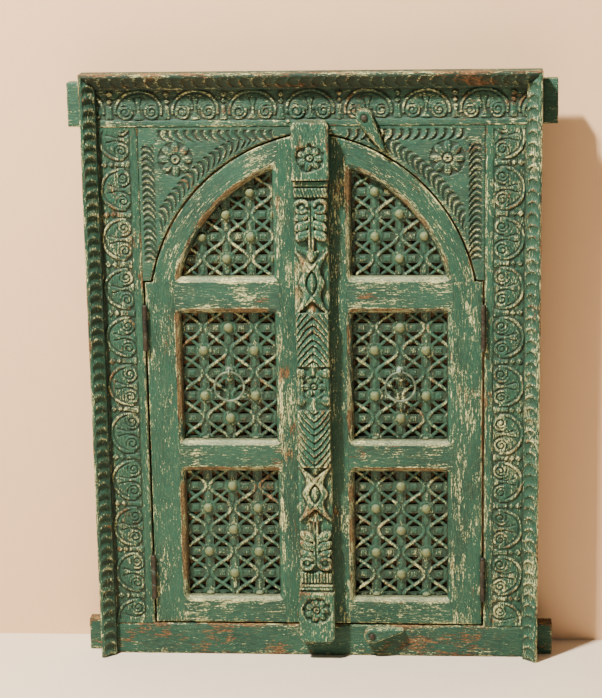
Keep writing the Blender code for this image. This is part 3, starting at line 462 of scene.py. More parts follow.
paints = {
    "frame": paint("framePaint", tint=1.0, flakes=0.14, bare=0.15, dirtAndShade=0.75, seed=1.0),
    # the left moulding's slope faces away from the light, and its darker tint is painted shade
    "moulding": paint("mouldingPaint", tint=0.85, flakes=0.20, bare=0.35, dirtAndShade=0.70, seed=2.0, along=0.10),
    # the top moulding's slope faces down, out of the light: its dark tint is painted shade, and more of it is
    # worn to bare wood
    "topMoulding": paint("topMouldingPaint", tint=0.50, flakes=0.10, bare=1.10, dirtAndShade=0.95, seed=7.0,
                         along=0.10),
    "rightJamb": paint("rightJambPaint", tint=1.12, flakes=0.42, bare=0.25, dirtAndShade=0.70, seed=9.0),
    # the right moulding's slope faces the light: its brighter tint and many cream flakes are painted light
    "rightMoulding": paint("rightMouldingPaint", tint=1.0, flakes=0.60, bare=0.45, dirtAndShade=0.60, seed=10.0,
                           along=0.10),
    "leaf": paint("leafPaint", tint=1.0, flakes=0.42, bare=0.30, dirtAndShade=0.60, seed=3.0, along=0.08),
    "panel": paint("latticePaint", tint=1.06, flakes=0.30, bare=0.30, dirtAndShade=0.85, seed=4.0, along=0.35,
                   gloss=0.42),
    "astragal": paint("astragalPaint", tint=1.28, flakes=0.36, bare=0.35, dirtAndShade=0.72, seed=5.0, along=0.12),
    "latch": paint("latchPaint", tint=1.10, flakes=0.15, bare=0.10, dirtAndShade=0.60, seed=6.0),
    "sill": paint("sillPaint", tint=0.95, flakes=0.16, bare=1.10, dirtAndShade=0.75, seed=8.0),
    "iron": ironPaint("hingeIron", dark=(0.010, 0.013, 0.011), light=(0.045, 0.062, 0.048),
                      rust=(0.040, 0.030, 0.020), shine=0.45),
    "ring": ironPaint("ringIron", dark=(0.060, 0.100, 0.072), light=(0.220, 0.330, 0.235),
                      rust=(0.120, 0.155, 0.100), shine=0.35),
}
print("paints mixed")


# scroll band, for the lintel and the jambs
scroll = {
    "band": 44.0, "ground": 1.7, "crest": 2.3, "stem": 2.3, "volute": 0.215, "coil": 5.2,
    "lintelPeriod": 84.0, "jambPeriod": 74.5, "jambFrom": 266.5,
}


def scrollUnit(s, w, period, size):
    # s runs along the band, w across it from its inner edge. Heights from 0 to 1.
    half = period / 2
    a = np.abs(s)
    wide, tall, rootW = 0.80 * half, 0.66 * size, 0.30 * size
    k = np.sqrt((s / wide) ** 2 + ((w - rootW) / tall) ** 2) + 1e-6
    slope = np.sqrt((s / wide**2) ** 2 + ((w - rootW) / tall**2) ** 2) / k + 1e-6
    stemAway = np.abs(k - 1) / slope
    arm = bead(stemAway, scroll["stem"]) * (w > rootW - 5)
    h = arm
    # volutes at the stem's two ends, coiling inwards
    vx, vw, r = 0.46 * half, 0.27 * size, scroll["volute"] * size
    dx, dw = a - vx, w - vw
    rho = np.hypot(dx, dw)
    turn = np.arctan2(dw, -dx) / math.tau
    phase = rho / scroll["coil"] - turn
    coil = np.abs(phase - np.round(phase)) * scroll["coil"]
    h = np.maximum(h, bead(coil, 2.0) * (rho < r + 1.5) * 0.95)
    h = np.maximum(h, bead(rho, 2.4))
    h = np.maximum(h, bead(np.abs(rho - r), 1.7) * (w < rootW + 7) * 0.95)
    # gouged lobe between volute and stem
    inLobe = (k < 0.93) & (rho > r + 1.2) & (w > 0.34 * size)
    flute = np.abs(np.sin((rho - r) * math.pi / 3.6))
    h = np.maximum(h, inLobe * (0.28 + 0.42 * flute**0.7) * ease(0.93, 0.80, k))
    # the trumpet in the middle
    w1 = w / size
    halfWide = 1.9 + 6.2 * ease(0.24, 0.03, w1) + 3.0 * ease(0.44, 0.70, w1)
    inside = (w1 > 0.02) & (w1 < 0.76)
    horn = bead(s, halfWide) * inside
    horn = horn - 0.35 * np.exp(-((s / 0.8) ** 2)) * (w1 > 0.08) * inside
    clear = np.abs(s) < halfWide + 1.3
    h = np.where(clear & inside, np.maximum(horn, 0), h)
    # clasp of two diamonds, and the small ribbed leaf under it
    e = half - a
    for at, grow in ((0.84, 5.2), (0.62, 4.4)):
        off = np.abs(e) + np.abs(w - at * size)
        square = np.clip((grow - off) / 1.2, 0, 1)
        h = np.where(off < grow + 1.2, square * (0.75 + 0.25 * np.clip(off / grow, 0, 1)), h)
    leaf = bead(e, 4.2 + 2.0 * ease(0.25, 0.02, w1)) * (w1 > 0.02) * (w1 < 0.48)
    leaf = leaf - 0.4 * (np.abs(np.sin(e * math.pi / 2.8)) < 0.35) * (w1 < 0.46)
    h = np.where((np.abs(e) < 5.0) & (w1 < 0.50), np.maximum(leaf, 0), h)
    fade = ease(0.0, 0.03, w1) * ease(1.03, 0.97, w1)
    return np.clip(h, 0, 1) * fade


def scrollDepth(s, w, period, size, seed):
    # how far the face lies behind (+) or before (-) the board's face
    s = s + 1.1 * valueNoise(s / 26, w / 26, seed)
    w = w + 0.9 * valueNoise(s / 22, w / 22, seed + 1)
    fold = (s + period / 2) % period - period / 2
    h = scrollUnit(fold, w, period, size)
    inside = ease(-0.9, 0.6, w) * ease(size + 0.9, size - 0.6, w)
    depth = scroll["ground"] - scroll["crest"] * h
    depth += 0.28 * valueNoise(s / 3.1, w / 3.1, seed + 2)
    return depth * inside


def boardWorn(x, z, seed, amount=0.22):
    # the small unevenness of a hand-planed board
    return amount * valueNoise(x / 34, z / 34, seed) + 0.35 * amount * valueNoise(x / 7, z / 7, seed + 5)


def reliefMarks(front, xs, zs, crest=1.2, hollow=1.5):
    # where the carving's crests and hollows are, found by comparing it with a blurred copy of it
    # the hollows mark paints shade into the carving's hollows
    gx, gz = np.meshgrid(xs, zs, indexing="ij")
    y = front(gx, gz)
    soft = blurred(y, 14)
    rise = np.clip((soft - y) / 1.3, -1, 1)

    def look(px, pz):
        i = np.clip(np.searchsorted(xs, px) - 1, 0, len(xs) - 2)
        j = np.clip(np.searchsorted(zs, pz) - 1, 0, len(zs) - 2)
        u = np.clip((px - xs[i]) / (xs[i + 1] - xs[i]), 0, 1)
        v = np.clip((pz - zs[j]) / (zs[j + 1] - zs[j]), 0, 1)
        low = rise[i, j] * (1 - u) + rise[i + 1, j] * u
        return low * (1 - v) + (rise[i, j + 1] * (1 - u) + rise[i + 1, j + 1] * u) * v

    return (lambda px, pz: np.clip(look(px, pz) * crest, 0, 1),
            lambda px, pz: np.clip(-look(px, pz) * hollow, 0, 1))


def edgeWear(px, pz, sides, reach=4.0):
    # 1 on the named straight edges, 0 further in than reach
    gone = np.zeros_like(px)
    for axis, at in sides:
        away = np.abs((px if axis == "x" else pz) - at)
        gone = np.maximum(gone, np.clip(1 - away / reach, 0, 1))
    return gone


# lintel
lintel = {
    "foot": 820.0, "top": 885.0, "hornX": 359.0, "hornFace": -22.0, "round": 1.3, "strip": 831.0,
    "carvedX": 316.0, "groove": 830.2, "pegX": -32.5, "pegZ": 828.5, "peg": 3.6, "step": (1.22, 1.18),
    "hornStep": 3.0,
}


def lintelFront(x, z):
    scrolls = (z > lintel["strip"] - 1) & (np.abs(x) < lintel["carvedX"])
    depth = scrollDepth(x, z - lintel["strip"], scroll["lintelPeriod"], scroll["band"], 11) * scrolls
    groove = 0.9 * np.exp(-(((z - lintel["groove"]) / 0.8) ** 2))
    peg = np.hypot(x - lintel["pegX"], z - lintel["pegZ"])
    depth = depth + groove + boardWorn(x, z, 14)
    depth = depth + 0.6 * ease(5.0, 3.8, peg) - 2.2 * bead(peg, lintel["peg"])
    depth += lintel["round"] * ease(1.8, 0, z - lintel["foot"])
    return face + depth


def makeLintel():
    xs = lines(-coreX + fit, coreX - fit, lintel["step"][0])
    zs = lines(lintel["foot"], lintel["top"], lintel["step"][1])
    crests, hollows = reliefMarks(lintelFront, xs, zs)
    marks = {
        "wear": lambda x, z: crests(x, z)
        + 0.8 * edgeWear(x, z, [("z", lintel["foot"])])
        + 0.25 * patchy(x, z, 60, 60, 19),
        # painted shade in the hollows, and a painted shadow along the top, under the moulding
        "pit": lambda x, z: hollows(x, z) + 0.5 * ease(873, 881, z),
    }

    def inside(x, z):
        return within(x, z, fit - coreX, coreX - fit, lintel["foot"], lintel["top"])

    return carve("lintelBoard", xs, zs, inside, lintelFront, 0.0, level(1), marks)


def makeHorns(name, low, high, seed):
    # the two thinner ends past the mouldings, with a worn arris
    parts = []
    for sign in (-1, 1):
        xs = lines(coreX + fit, lintel["hornX"], lintel["hornStep"])
        zs = lines(low, high, lintel["hornStep"])

        def inside(x, z):
            chip = 0.7 * valueNoise(z / 5, x / 5, seed + sign)
            end = lintel["hornX"] - 0.6 - x + np.minimum(chip, 0.5)
            return np.minimum(np.minimum(x - coreX - fit, end), np.minimum(z - low, high - z))

        def front(x, z):
            away = np.minimum(np.minimum(lintel["hornX"] - x, z - low), high - z)
            return lintel["hornFace"] + 1.1 * ease(2.2, 0, away) + boardWorn(x, z, seed + 3 * sign, 0.3)

        marks = {
            "wear": lambda x, z: edgeWear(x, z, [("x", lintel["hornX"]), ("z", low), ("z", high)]),
            # painted shade where the horn meets the moulding
            "pit": lambda x, z: 0.8 * ease(coreX + 21, coreX + 15, x),
        }
        parts.append(carve(name, xs, zs, inside, front, 0.0, level(seed), marks, mirror=sign < 0))
    return parts


def joinPieces(parts, name):
    # one object from several meshes
    bpy.ops.object.select_all(action="DESELECT")
    for p in parts:
        p.select_set(True)
    bpy.context.view_layer.objects.active = parts[0]
    bpy.ops.object.join()
    parts[0].name = name
    return parts[0]


beam = joinPieces([makeLintel(), *makeHorns("lintelHorn", lintel["foot"], lintel["top"], 21)], "lintelCarved")
settle(beam, "frame", "painted_frame", paints["frame"], "lintel")
print("lintel carved")

# sill
sill = {"top": 50.0, "round": 1.6, "step": (2.4, 2.2)}


def sillFront(x, z):
    wave = boardWorn(x, z, 31, 0.35)
    chip = 1.6 * ease(0.35, 0.8, valueNoise(x / 9, z / 4, 33)) * ease(4, 0, sill["top"] - z)
    return face + wave + chip + sill["round"] * ease(2.4, 0, sill["top"] - z) + 0.8 * ease(2, 0, z)


def makeSill():
    xs = lines(-coreX + fit, coreX - fit, sill["step"][0])
    zs = lines(0.0, sill["top"], sill["step"][1])
    marks = {
        "wear": lambda x, z: edgeWear(x, z, [("z", sill["top"]), ("z", 0.0)], 5)
        + 0.30 * patchy(x, z, 70, 20, 35, 0.0, 0.8),
        "pit": lambda x, z: 0.35 * ease(9, 0, z),
    }

    def inside(x, z):
        return within(x, z, fit - coreX, coreX - fit, 0.0, sill["top"])

    return carve("sillBoard", xs, zs, inside, sillFront, 0.0, level(2), marks)


foot = joinPieces([makeSill(), *makeHorns("sillHorn", 0.0, sill["top"], 41)], "sillWorn")
settle(foot, "frame", "painted_frame", paints["sill"], "sill")
print("sill laid")

# jambs
jamb = {
    "inner": 253.5, "outer": 320.0, "low": 50.3, "high": 819.7, "scrollFrom": 58.0, "carvedLow": 54.0,
    "carvedHigh": 817.0, "groove": 265.2, "step": (1.18, 1.22),
}


def makeJamb(side):
    seed = 51 if side == "right" else 57

    def front(x, z):
        w = x - scroll["jambFrom"]
        depth = scrollDepth(z - jamb["scrollFrom"], w, scroll["jambPeriod"], scroll["band"] + 1.5, seed)
        low, high = jamb["carvedLow"], jamb["carvedHigh"]
        depth = depth * (ease(low, low + 3, z) * ease(high, high - 3, z)) + boardWorn(x, z, seed + 8)
        depth = depth + 0.8 * np.exp(-(((x - jamb["groove"]) / 0.7) ** 2))
        return face + (depth + 1.4 * ease(2.0, 0, x - jamb["inner"]))

    xs = lines(jamb["inner"], jamb["outer"] - fit, jamb["step"][0])
    zs = lines(jamb["low"], jamb["high"], jamb["step"][1])
    crests, hollows = reliefMarks(front, xs, zs)
    marks = {
        "wear": lambda x, z: crests(x, z)
        + edgeWear(x, z, [("x", jamb["inner"])])
        + 0.3 * patchy(x, z, 30, 60, seed + 2),
        # painted shade in the hollows and beside the moulding
        "pit": lambda x, z: hollows(x, z) + 0.45 * ease(309, 315, x),
    }

    def inside(x, z):
        return within(x, z, jamb["inner"], jamb["outer"] - fit, jamb["low"], jamb["high"])

    piece = carve(side + "JambCarved", xs, zs, inside, front, 0.0, upright(seed), marks,
                  mirror=side == "left")
    material = paints["rightJamb" if side == "right" else "frame"]
    return settle(piece, "frame", "painted_frame", material, "jamb_" + side)


for side in ("left", "right"):
    makeJamb(side)
print("jambs carved")

# mouldings
moulding = {
    "width": 22.0, "flat": 4.6, "front": -58.0, "foot": -43.8, "heel": -22.3, "seat": -36.3, "lap": 14.7,
    "pitch": 17.2, "row": 1.4, "half": 335.0, "top": 900.0, "play": 0.3,
}


def makeMoulding(name, node, length, start, end, place, grain, seed, hand):
    # A length of moulding: its section from the outer edge inwards, swept and mitred.
    steps = int(length / moulding["row"])
    along = np.linspace(0, 1, steps + 1)
    u = np.concatenate([[0, 0, 0.9], np.linspace(moulding["flat"] - 0.8, moulding["flat"] + 0.6, 3),
                        np.linspace(moulding["flat"] + 1.5, moulding["width"] - 0.6, 15), [moulding["width"]],
                        [moulding["width"], moulding["lap"], moulding["lap"], 0]])
    slope = np.clip((u - moulding["flat"]) / (moulding["width"] - moulding["flat"]), 0, 1)
    y = moulding["front"] + (moulding["foot"] - moulding["front"]) * slope**1.15
    n = len(u)
    y[0], y[1], y[2] = moulding["heel"], moulding["front"] + 0.9, moulding["front"]
    y[n - 5] = moulding["foot"] + 0.6
    y[n - 4:n - 2], y[n - 2:] = moulding["seat"], moulding["heel"]
    rows = []
    for t in along:
        # the mitre takes its own length off each line of the section
        low, high = start * u, length - end * u
        s = low + (high - low) * t
        rows.append(np.stack([s, u, y], 1))
    grid = np.array(rows)
    s, uu, yy = grid[..., 0], grid[..., 1], grid[..., 2].copy()
    band = (uu > moulding["flat"]) & (uu < moulding["width"] - 0.1) & (np.arange(n)[None, :] < n - 4)
    q = (uu - moulding["flat"]) / (moulding["width"] - moulding["flat"])
    bow = hand * 6.5 * (1 - (2 * q - 0.95) ** 2)
    wobble = 0.8 * valueNoise(s / 40, uu / 30, seed)
    phase = (hand * (s + bow + wobble) / moulding["pitch"]) % 1
    rim = bead(np.minimum(phase, 1 - phase) * moulding["pitch"], 2.3)
    scoop = np.sin(np.clip((phase - 0.06) / 0.82, 0, 1) ** 0.62 * math.pi) ** 0.8
    envelope = ease(0, 0.16, q) * ease(1.02, 0.84, q)
    carveIn = (1.8 * scoop - 1.1 * rim) * envelope * band
    yy += carveIn + 0.16 * valueNoise(s / 5, uu / 5, seed + 1) * band
    nibble = np.maximum(0.5 * valueNoise(s / 14, uu, seed + 2), 0)
    uOut = uu + np.where(np.arange(n)[None, :] <= 2, nibble, 0)
    xz = place(s, uOut)
    points = np.stack([xz[0].ravel(), yy.ravel(), xz[1].ravel()], 1)
    idx = np.arange((steps + 1) * n).reshape(steps + 1, n)
    ring = np.roll(idx, -1, axis=1)
    faces = np.stack([idx[:-1], ring[:-1], ring[1:], idx[1:]], -1).reshape(-1, 4)
    caps = np.stack([idx[0][::-1], idx[-1]])
    total = len(faces) + 2
    smoothFaces = np.ones(total, bool)
    smoothFaces[-2:] = False
    rise = np.clip((rim * 0.9 - scoop * 0.2), 0, 1) * envelope * band
    wear = 0.8 * rise + 1.7 * ease(2.4, 0, np.abs(uu - 0.4)) * (yy < -50)
    wear += 0.4 * ease(1.4, 0, np.abs(uu - moulding["flat"]))
    # painted shade in the scoops and along the inner edge where the moulding meets the frame
    pit = np.clip(scoop * envelope * band * 0.45, 0, 1) + 0.4 * (uu > moulding["width"] - 1.0)
    g = grain(xz[0].ravel(), yy.ravel(), xz[1].ravel())
    wear, pit = (np.clip(mark, 0, 1).ravel() for mark in (wear, pit))
    values = {"wear": wear, "pit": pit, "grain": np.stack(g, 1)}
    sharp = np.zeros((steps + 1, n), bool)
    sharp[0], sharp[-1] = True, True
    piece = faceOut(makeMesh(name, points, [faces, caps], smoothFaces, values, sharp.ravel()))
    material = paints.get(name, paints["moulding"])  # the top one is painted darker for shade and the right one brighter for light, each with its own wear
    return settle(piece, "frame", "painted_moulding", material, node)


half, top, play = moulding["half"], moulding["top"], moulding["play"]
makeMoulding("topMoulding", "moulding_top", 2 * (half - play), 1, 1,
             lambda s, u: (s - (half - play), top - u), level(61), 61, 1)
makeMoulding("leftMoulding", "moulding_left", top - play, 0, 1,
             lambda s, u: (u - half, s), upright(63), 63, -1)
makeMoulding("rightMoulding", "moulding_right", top - play, 0, 1,
             lambda s, u: (half - u, s), upright(65), 65, -1)
print("mouldings run")

# spandrels, each with a rosette and three bands of leaves
spandrel = {
    "low": 592.0, "top": 819.7, "edge": 253.2, "roseX": 199.0, "roseZ": 773.0, "rose": 26.0, "petals": 8,
    "button": 7.0, "seam": 0.15, "step": 1.2, "archPitch": 10.6, "archFrom": 5.0, "archTo": 26.0,
    "sideX": 239.5, "sideWidth": 20.0, "sidePitch": 9.3, "topZ": 808.0, "topWidth": 17.0, "topPitch": 12.6,
}


def leafBand(s, w, width, pitch, lean):
    # overlapping curled leaves that cross a band, w measured from its middle line
    t = w / (width / 2)
    curl = lean * width * 0.55 * (1 - t * t) + 0.22 * width * t
    phase = (s + curl) / pitch
    part = phase - np.floor(phase)
    crest = np.clip(1 - part / 0.74, 0, 1) ** 0.8 * ease(0, 0.10, part)
    inside = ease(1.02, 0.84, np.abs(t))
    return crest * inside, inside


def rosette(dx, dz, reach, petals, button, hole):
    # height from 0 to 1 of a round flower, and how far inside it is
    r = np.hypot(dx, dz)
    turn = np.arctan2(dz, dx) * petals / math.tau
    off = (turn - np.round(turn)) * math.tau / petals
    # each petal is a dome, widest towards its tip
    middle = 0.60 * reach
    u = (r * np.cos(off) - middle) / (0.42 * reach)
    v = r * np.sin(off) / (math.pi / petals * middle * 0.98)
    petal = np.clip(1 - u * u - v * v, 0, 1) ** 0.5
    fold = 0.22 * np.exp(-((r * np.sin(off) / 0.9) ** 2)) * (petal > 0)
    height = 0.10 + 0.75 * petal - fold
    knob = bead(r, button) * (r < button)
    pip = 0.55 * np.exp(-((r / hole) ** 4))
    height = np.where(r < button, 0.25 + 0.75 * knob - pip, height)
    height -= 0.30 * np.exp(-(((r - button - 0.7) / 0.8) ** 2))
    inside = ease(reach + 1.0, reach - 0.8, r)
    return height * inside, inside


def spandrelFront(x, z):
    bands = []
    angle = np.arctan2(z - arch["centre"], x + arch["past"])
    off = fromArch(x, z) - arch["radius"]
    middle = (spandrel["archFrom"] + spandrel["archTo"]) / 2
    width = spandrel["archTo"] - spandrel["archFrom"]
    along = angle * (arch["radius"] + middle)
    apart = ease(228, 222, x) * ease(804, 797, z)
    bands.append((*leafBand(-along, off - middle, width, spandrel["archPitch"], 0.75), apart))
    rising = ease(618, 624, z) * ease(797, 791, z)
    side = leafBand(-z, x - spandrel["sideX"], spandrel["sideWidth"], spandrel["sidePitch"], 0.75)
    bands.append((*side, rising))
    across = ease(48, 58, x) * ease(231, 222, x)
    top = leafBand(-x, z - spandrel["topZ"], spandrel["topWidth"], spandrel["topPitch"], 0.6)
    bands.append((*top, across))
    depth = np.zeros_like(x)
    for crest, inside, where in bands:
        depth += where * (1.7 * inside - 3.4 * crest)
    dx, dz = x - spandrel["roseX"], z - spandrel["roseZ"]
    flower, inside = rosette(dx, dz, spandrel["rose"], spandrel["petals"], spandrel["button"], 2.4)
    depth += 1.8 * inside - 4.6 * flower
    depth += boardWorn(x, z, 71) + 1.3 * ease(2.2, 0, off) + 0.6 * ease(1.5, 0, spandrel["edge"] - x)
    return face + depth


def makeSpandrel(side):
    xs = lines(spandrel["seam"], spandrel["edge"], spandrel["step"])
    zs = lines(spandrel["low"], spandrel["top"], spandrel["step"])
    crests, hollows = reliefMarks(spandrelFront, xs, zs)

    def inside(x, z):
        off = fromArch(x, z) - arch["radius"]
        upDown = np.minimum(z - spandrel["low"], spandrel["top"] - z)
        return np.minimum(np.minimum(off, spandrel["edge"] - x), upDown)

    seed = 73 if side == "right" else 77
    marks = {
        "wear": lambda x, z: crests(x, z) + 0.9 * ease(3, 0, fromArch(x, z) - arch["radius"])
        + 0.3 * patchy(x, z, 40, 20, seed),
        "pit": hollows,
    }
    piece = carve(side + "SpandrelCarved", xs, zs, inside, spandrelFront, -fit, level(seed), marks,
                  mirror=side == "left")
    return settle(piece, "frame", "painted_frame", paints["frame"], "spandrel_" + side)


for side in ("left", "right"):
    makeSpandrel(side)
print("spandrels carved")

# leaf frames
member = {
    "seam": 0.12, "drop": 9.0, "step": 0.7, "rebateFront": -24.3,
    "flat": 4.5, "corner": 1.3, "close": 1.05, "arched": 1.45,  # grid steps
}


def roundedSpan(x, z, low, high, r):
    # how far outside a round-cornered opening a point lies, below zero inside
    mx, mz = (stileX + hangX) / 2, (low + high) / 2
    qx = np.abs(x - mx) - (hangX - stileX) / 2 + r
    qz = np.abs(z - mz) - (high - low) / 2 + r
    return np.hypot(np.maximum(qx, 0), np.maximum(qz, 0)) + np.minimum(np.maximum(qx, qz), 0) - r


def roundedArch(x, z, r):
    a = stileX + r - x
    b = leafSpring + r - z
    c = fromArch(x, z) - (headRadius - r)
    out = np.sqrt(np.maximum(a, 0) ** 2 + np.maximum(b, 0) ** 2 + np.maximum(c, 0) ** 2)
    return out + np.minimum(np.maximum(np.maximum(a, b), c), 0) - r


def offOpening(x, z, r=None):
    r = lip["round"] if r is None else r
    away = roundedArch(x, z, r)
    for low, high in openings:
        away = np.minimum(away, roundedSpan(x, z, low, high, r))
    return away


def offHead(x, z):
    return headRadius - fromArch(x, z)


def mitreReach(x, z):
    # how far a stile's lip may reach into the openings at this height
    reach = np.zeros_like(z)
    for low, high in openings:
        reach = np.maximum(reach, np.minimum(z - low, high - z))
    top = np.minimum(z - leafSpring, offHead(x, z))
    return np.clip(np.maximum(reach, top), 0, lip["reach"])


def leafOutline(x, z):
    below = np.minimum(np.minimum(leafEdge - x, z - leafFoot), leafSpring - z)
    above = np.minimum(leafRadius - fromArch(x, z), z - arch["centre"])
    return np.minimum(np.maximum(below, above), x - meetingX)


def stileShare(x, z):
    return stileX + mitreReach(x, z) - x


def hangShare(x, z):
    reach = np.zeros_like(z)
    for low, high in openings:
        reach = np.maximum(reach, np.clip(np.minimum(z - low, high - z), 0, lip["reach"]))
    return np.minimum(x - (hangX - reach), leafSpring - z)


def railShare(low, high):
    # low and high are the rail's own edges, with an opening past each
    def share(x, z):
        side = np.clip(np.minimum(x - stileX, hangX - x), 0, lip["reach"])
        arched = np.clip(np.minimum(x - stileX, offHead(x, z)), 0, lip["reach"])
        above = arched if high == leafSpring else side
        below = side if low > leafFoot else 0
        upDown = np.minimum(high + above - z, z - (low - below))
        return np.minimum(upDown, np.minimum(x - stileX, hangX - x))

    return share


def headShare(x, z):
    reach = np.clip(np.minimum(x - stileX, z - leafSpring), 0, lip["reach"])
    return np.minimum(np.minimum(reach - offHead(x, z), x - stileX), z - leafSpring)


def alongArch(seed):
    def grain(x, y, z):
        px = np.abs(x) + arch["past"]
        pz = z - arch["centre"]
        turn = np.arctan2(pz, px) * headRadius
        return (np.hypot(px, pz) + seed * 37.3, y + seed * 11.1, turn + seed * 53.9)

    return grain


def makeMember(side, part, share, xs, zs, grain, seed, sides):
    def front(x, z):
        away = offOpening(x, z)
        t = np.clip(-away / lip["width"], 0, 1)
        fall = member["step"] * ease(0.02, 0.14, t)
        fall += (member["drop"] - member["step"]) * (1 - np.sqrt(np.clip(1 - t**2, 0, 1)))
        edge = 0.9 * ease(1.8, 0, leafOutline(x, z))
        return face + fall + edge + boardWorn(x, z, seed, 0.28)

    def bound(x, z, r, lipWidth):
        owned = np.minimum(leafOutline(x, z), share(x, z) - member["seam"])
        return np.minimum(owned, offOpening(x, z, r) + lipWidth)

    def lipLitAndShaded(x, z):
        # the foot of an opening faces up into the light and gets a painted highlight, its head and the side
        # away from the light get painted shade over paint worn through to brown wood
        rail = part.endswith("Rail")
        shadedBrown = (z < sides[0]) if rail else np.full(x.shape, sides[2])
        foot = (z > sides[1]) if rail else np.zeros(x.shape, bool)
        return shadedBrown * (offOpening(x, z) < 0.5), foot * (offOpening(x, z) < -0.6)

    def wear(x, z):
        away = offOpening(x, z)
        t = -away / lip["width"]
        arris = ease(0.55, 0.0, np.abs(t - 0.10)) * (away < 3)
        rubbed = patchy(x, z, 26, 26, seed + 3, -0.3, 0.6)
        shadedBrown = lipLitAndShaded(x, z)[0]
        patches = 0.45 * patchy(x, z, 18, 55, seed + 4, 0.05, 0.75)
        edges = 0.8 * ease(3, 0, leafOutline(x, z))
        return arris * (0.3 + 0.6 * rubbed) + shadedBrown * (0.5 + 1.3 * rubbed) + edges + patches

    marks = {
        "wear": wear,
        # painted shade where the lip runs down to the panel, and on its sides away from the light
        "pit": lambda x, z: 0.75 * ease(0.72, 1.0, -offOpening(x, z) / lip["width"])
        + 0.50 * lipLitAndShaded(x, z)[0],
        # a painted highlight on the foot of each opening
        "pale": lambda x, z: lipLitAndShaded(x, z)[1] * (0.75 + 0.25 * valueNoise(x / 9, z / 9, seed + 6)),
    }
    mirror = side == "left"
    name = side + part
    skin = carve(name, xs, zs, lambda x, z: bound(x, z, lip["round"], lip["width"]), front, lip["back"],
                 grain, marks, mirror)
    core = carve(name + "Core", xs, zs, lambda x, z: bound(x, z, 0.5, 0.0),
                 lambda x, z: np.full_like(x, member["rebateFront"]), lip["leafBack"], grain,
                 {"wear": lambda x, z: 0 * x + 0.2}, mirror)
    return joinPieces([skin, core], name)


def makeLeafFrame(side):
    seed = 0 if side == "left" else 40
    flat, corner, close = member["flat"], member["corner"], member["close"]
    reach = lip["reach"]
    corners = []
    for low, high in openings:
        corners += [(low - 1, low + 13, corner), (high - 13, high + 1, corner)]
    top = arch["centre"] + math.sqrt(headRadius**2 - (stileX + arch["past"]) ** 2)
    tall = (*corners, (leafSpring - 1, leafSpring + 13, corner), (top - 16, top + 40, 1.6))
    stileXs = lines(meetingX, stileX + reach, flat, ((40, 60, close),))
    highest = archZ(np.array(meetingX), leafRadius) + 0.5
    stileZs = lines(leafFoot, float(highest), flat, tall)
    hangXs = lines(hangX - reach, leafEdge, flat, ((190, 216, close),))
    hangZs = lines(leafFoot, leafSpring, flat, corners)
    railXs = lines(stileX, hangX, flat, ((stileX, stileX + 15, corner), (hangX - 15, hangX, corner)))
    (lowFoot, lowTop), (midFoot, midTop) = openings
    # each part with its lower and upper edge and whether its lip faces away from the light
    kit = [
        ("MeetingStile", "meeting_stile", stileShare, stileXs, stileZs, upright(81 + seed),
         (0, 0, side == "right")),
        ("HangingStile", "hanging_stile", hangShare, hangXs, hangZs, upright(82 + seed),
         (0, 0, side == "left")),
    ]
    for part, node, low, high in (("BottomRail", "bottom_rail", leafFoot, lowFoot),
                                  ("LowerRail", "lower_rail", lowTop, midFoot),
                                  ("UpperRail", "upper_rail", midTop, leafSpring)):
        below = low - reach if low > leafFoot else low
        railZs = lines(below, high + reach, 3.5, ((below, low + 14, close), (high - 12, high + reach, close)))
        share = railShare(low, high)
        kit.append((part, node, share, railXs, railZs, level(83 + len(kit) + seed), (low, high, False)))
    headXs = lines(stileX, float(archX(np.array(leafSpring), leafRadius)) + 0.5, member["arched"])
    headZs = lines(leafSpring, float(archZ(np.array(stileX), leafRadius)) + 0.5, member["arched"])
    kit.append(("ArchedHead", "arched_head", headShare, headXs, headZs, alongArch(90 + seed), (0, 0, True)))
    for k, (part, node, share, xs, zs, grain, sides) in enumerate(kit):
        piece = makeMember(side, part, share, xs, zs, grain, 91 + k + seed, sides)
        settle(piece, side + "_leaf", "painted_leaf", paints["leaf"], side + "_" + node)


for side in ("left", "right"):
    makeLeafFrame(side)
print("leaves framed")

# pierced panels
mesh = {
    "x": 38.3, "z": 35.1, "topShare": 0.95, "columns": 4, "rows": 6, "lift": 3.5,
    "eyeX": 12.0, "eyeZ": 10.75, "sway": 16.0, "strand": 2.6, "strip": 2.3,
    "boss": 6.9, "bossHeight": 5.4, "disc": 11.5, "bare": 15.0, "tongueX": 4.4, "tongueZ": 8.0,
    "padX": 4.9, "padZ": 4.2, "rib": 3.1, "front": -23.7, "back": -12.7, "ground": 2.6, "slack": 0.8,
    "step": 1.15,
}


def latticeCell(x, z, firstRow, scale):
    px, pz = mesh["x"] * scale, mesh["z"] * scale
    middle = (stileX + hangX) / 2
    firstColumn = middle - (mesh["columns"] - 1) / 2 * px
    i = np.round((x - firstColumn) / px)
    j = np.round((z - firstRow) / pz)
    return px, pz, firstColumn, i, j


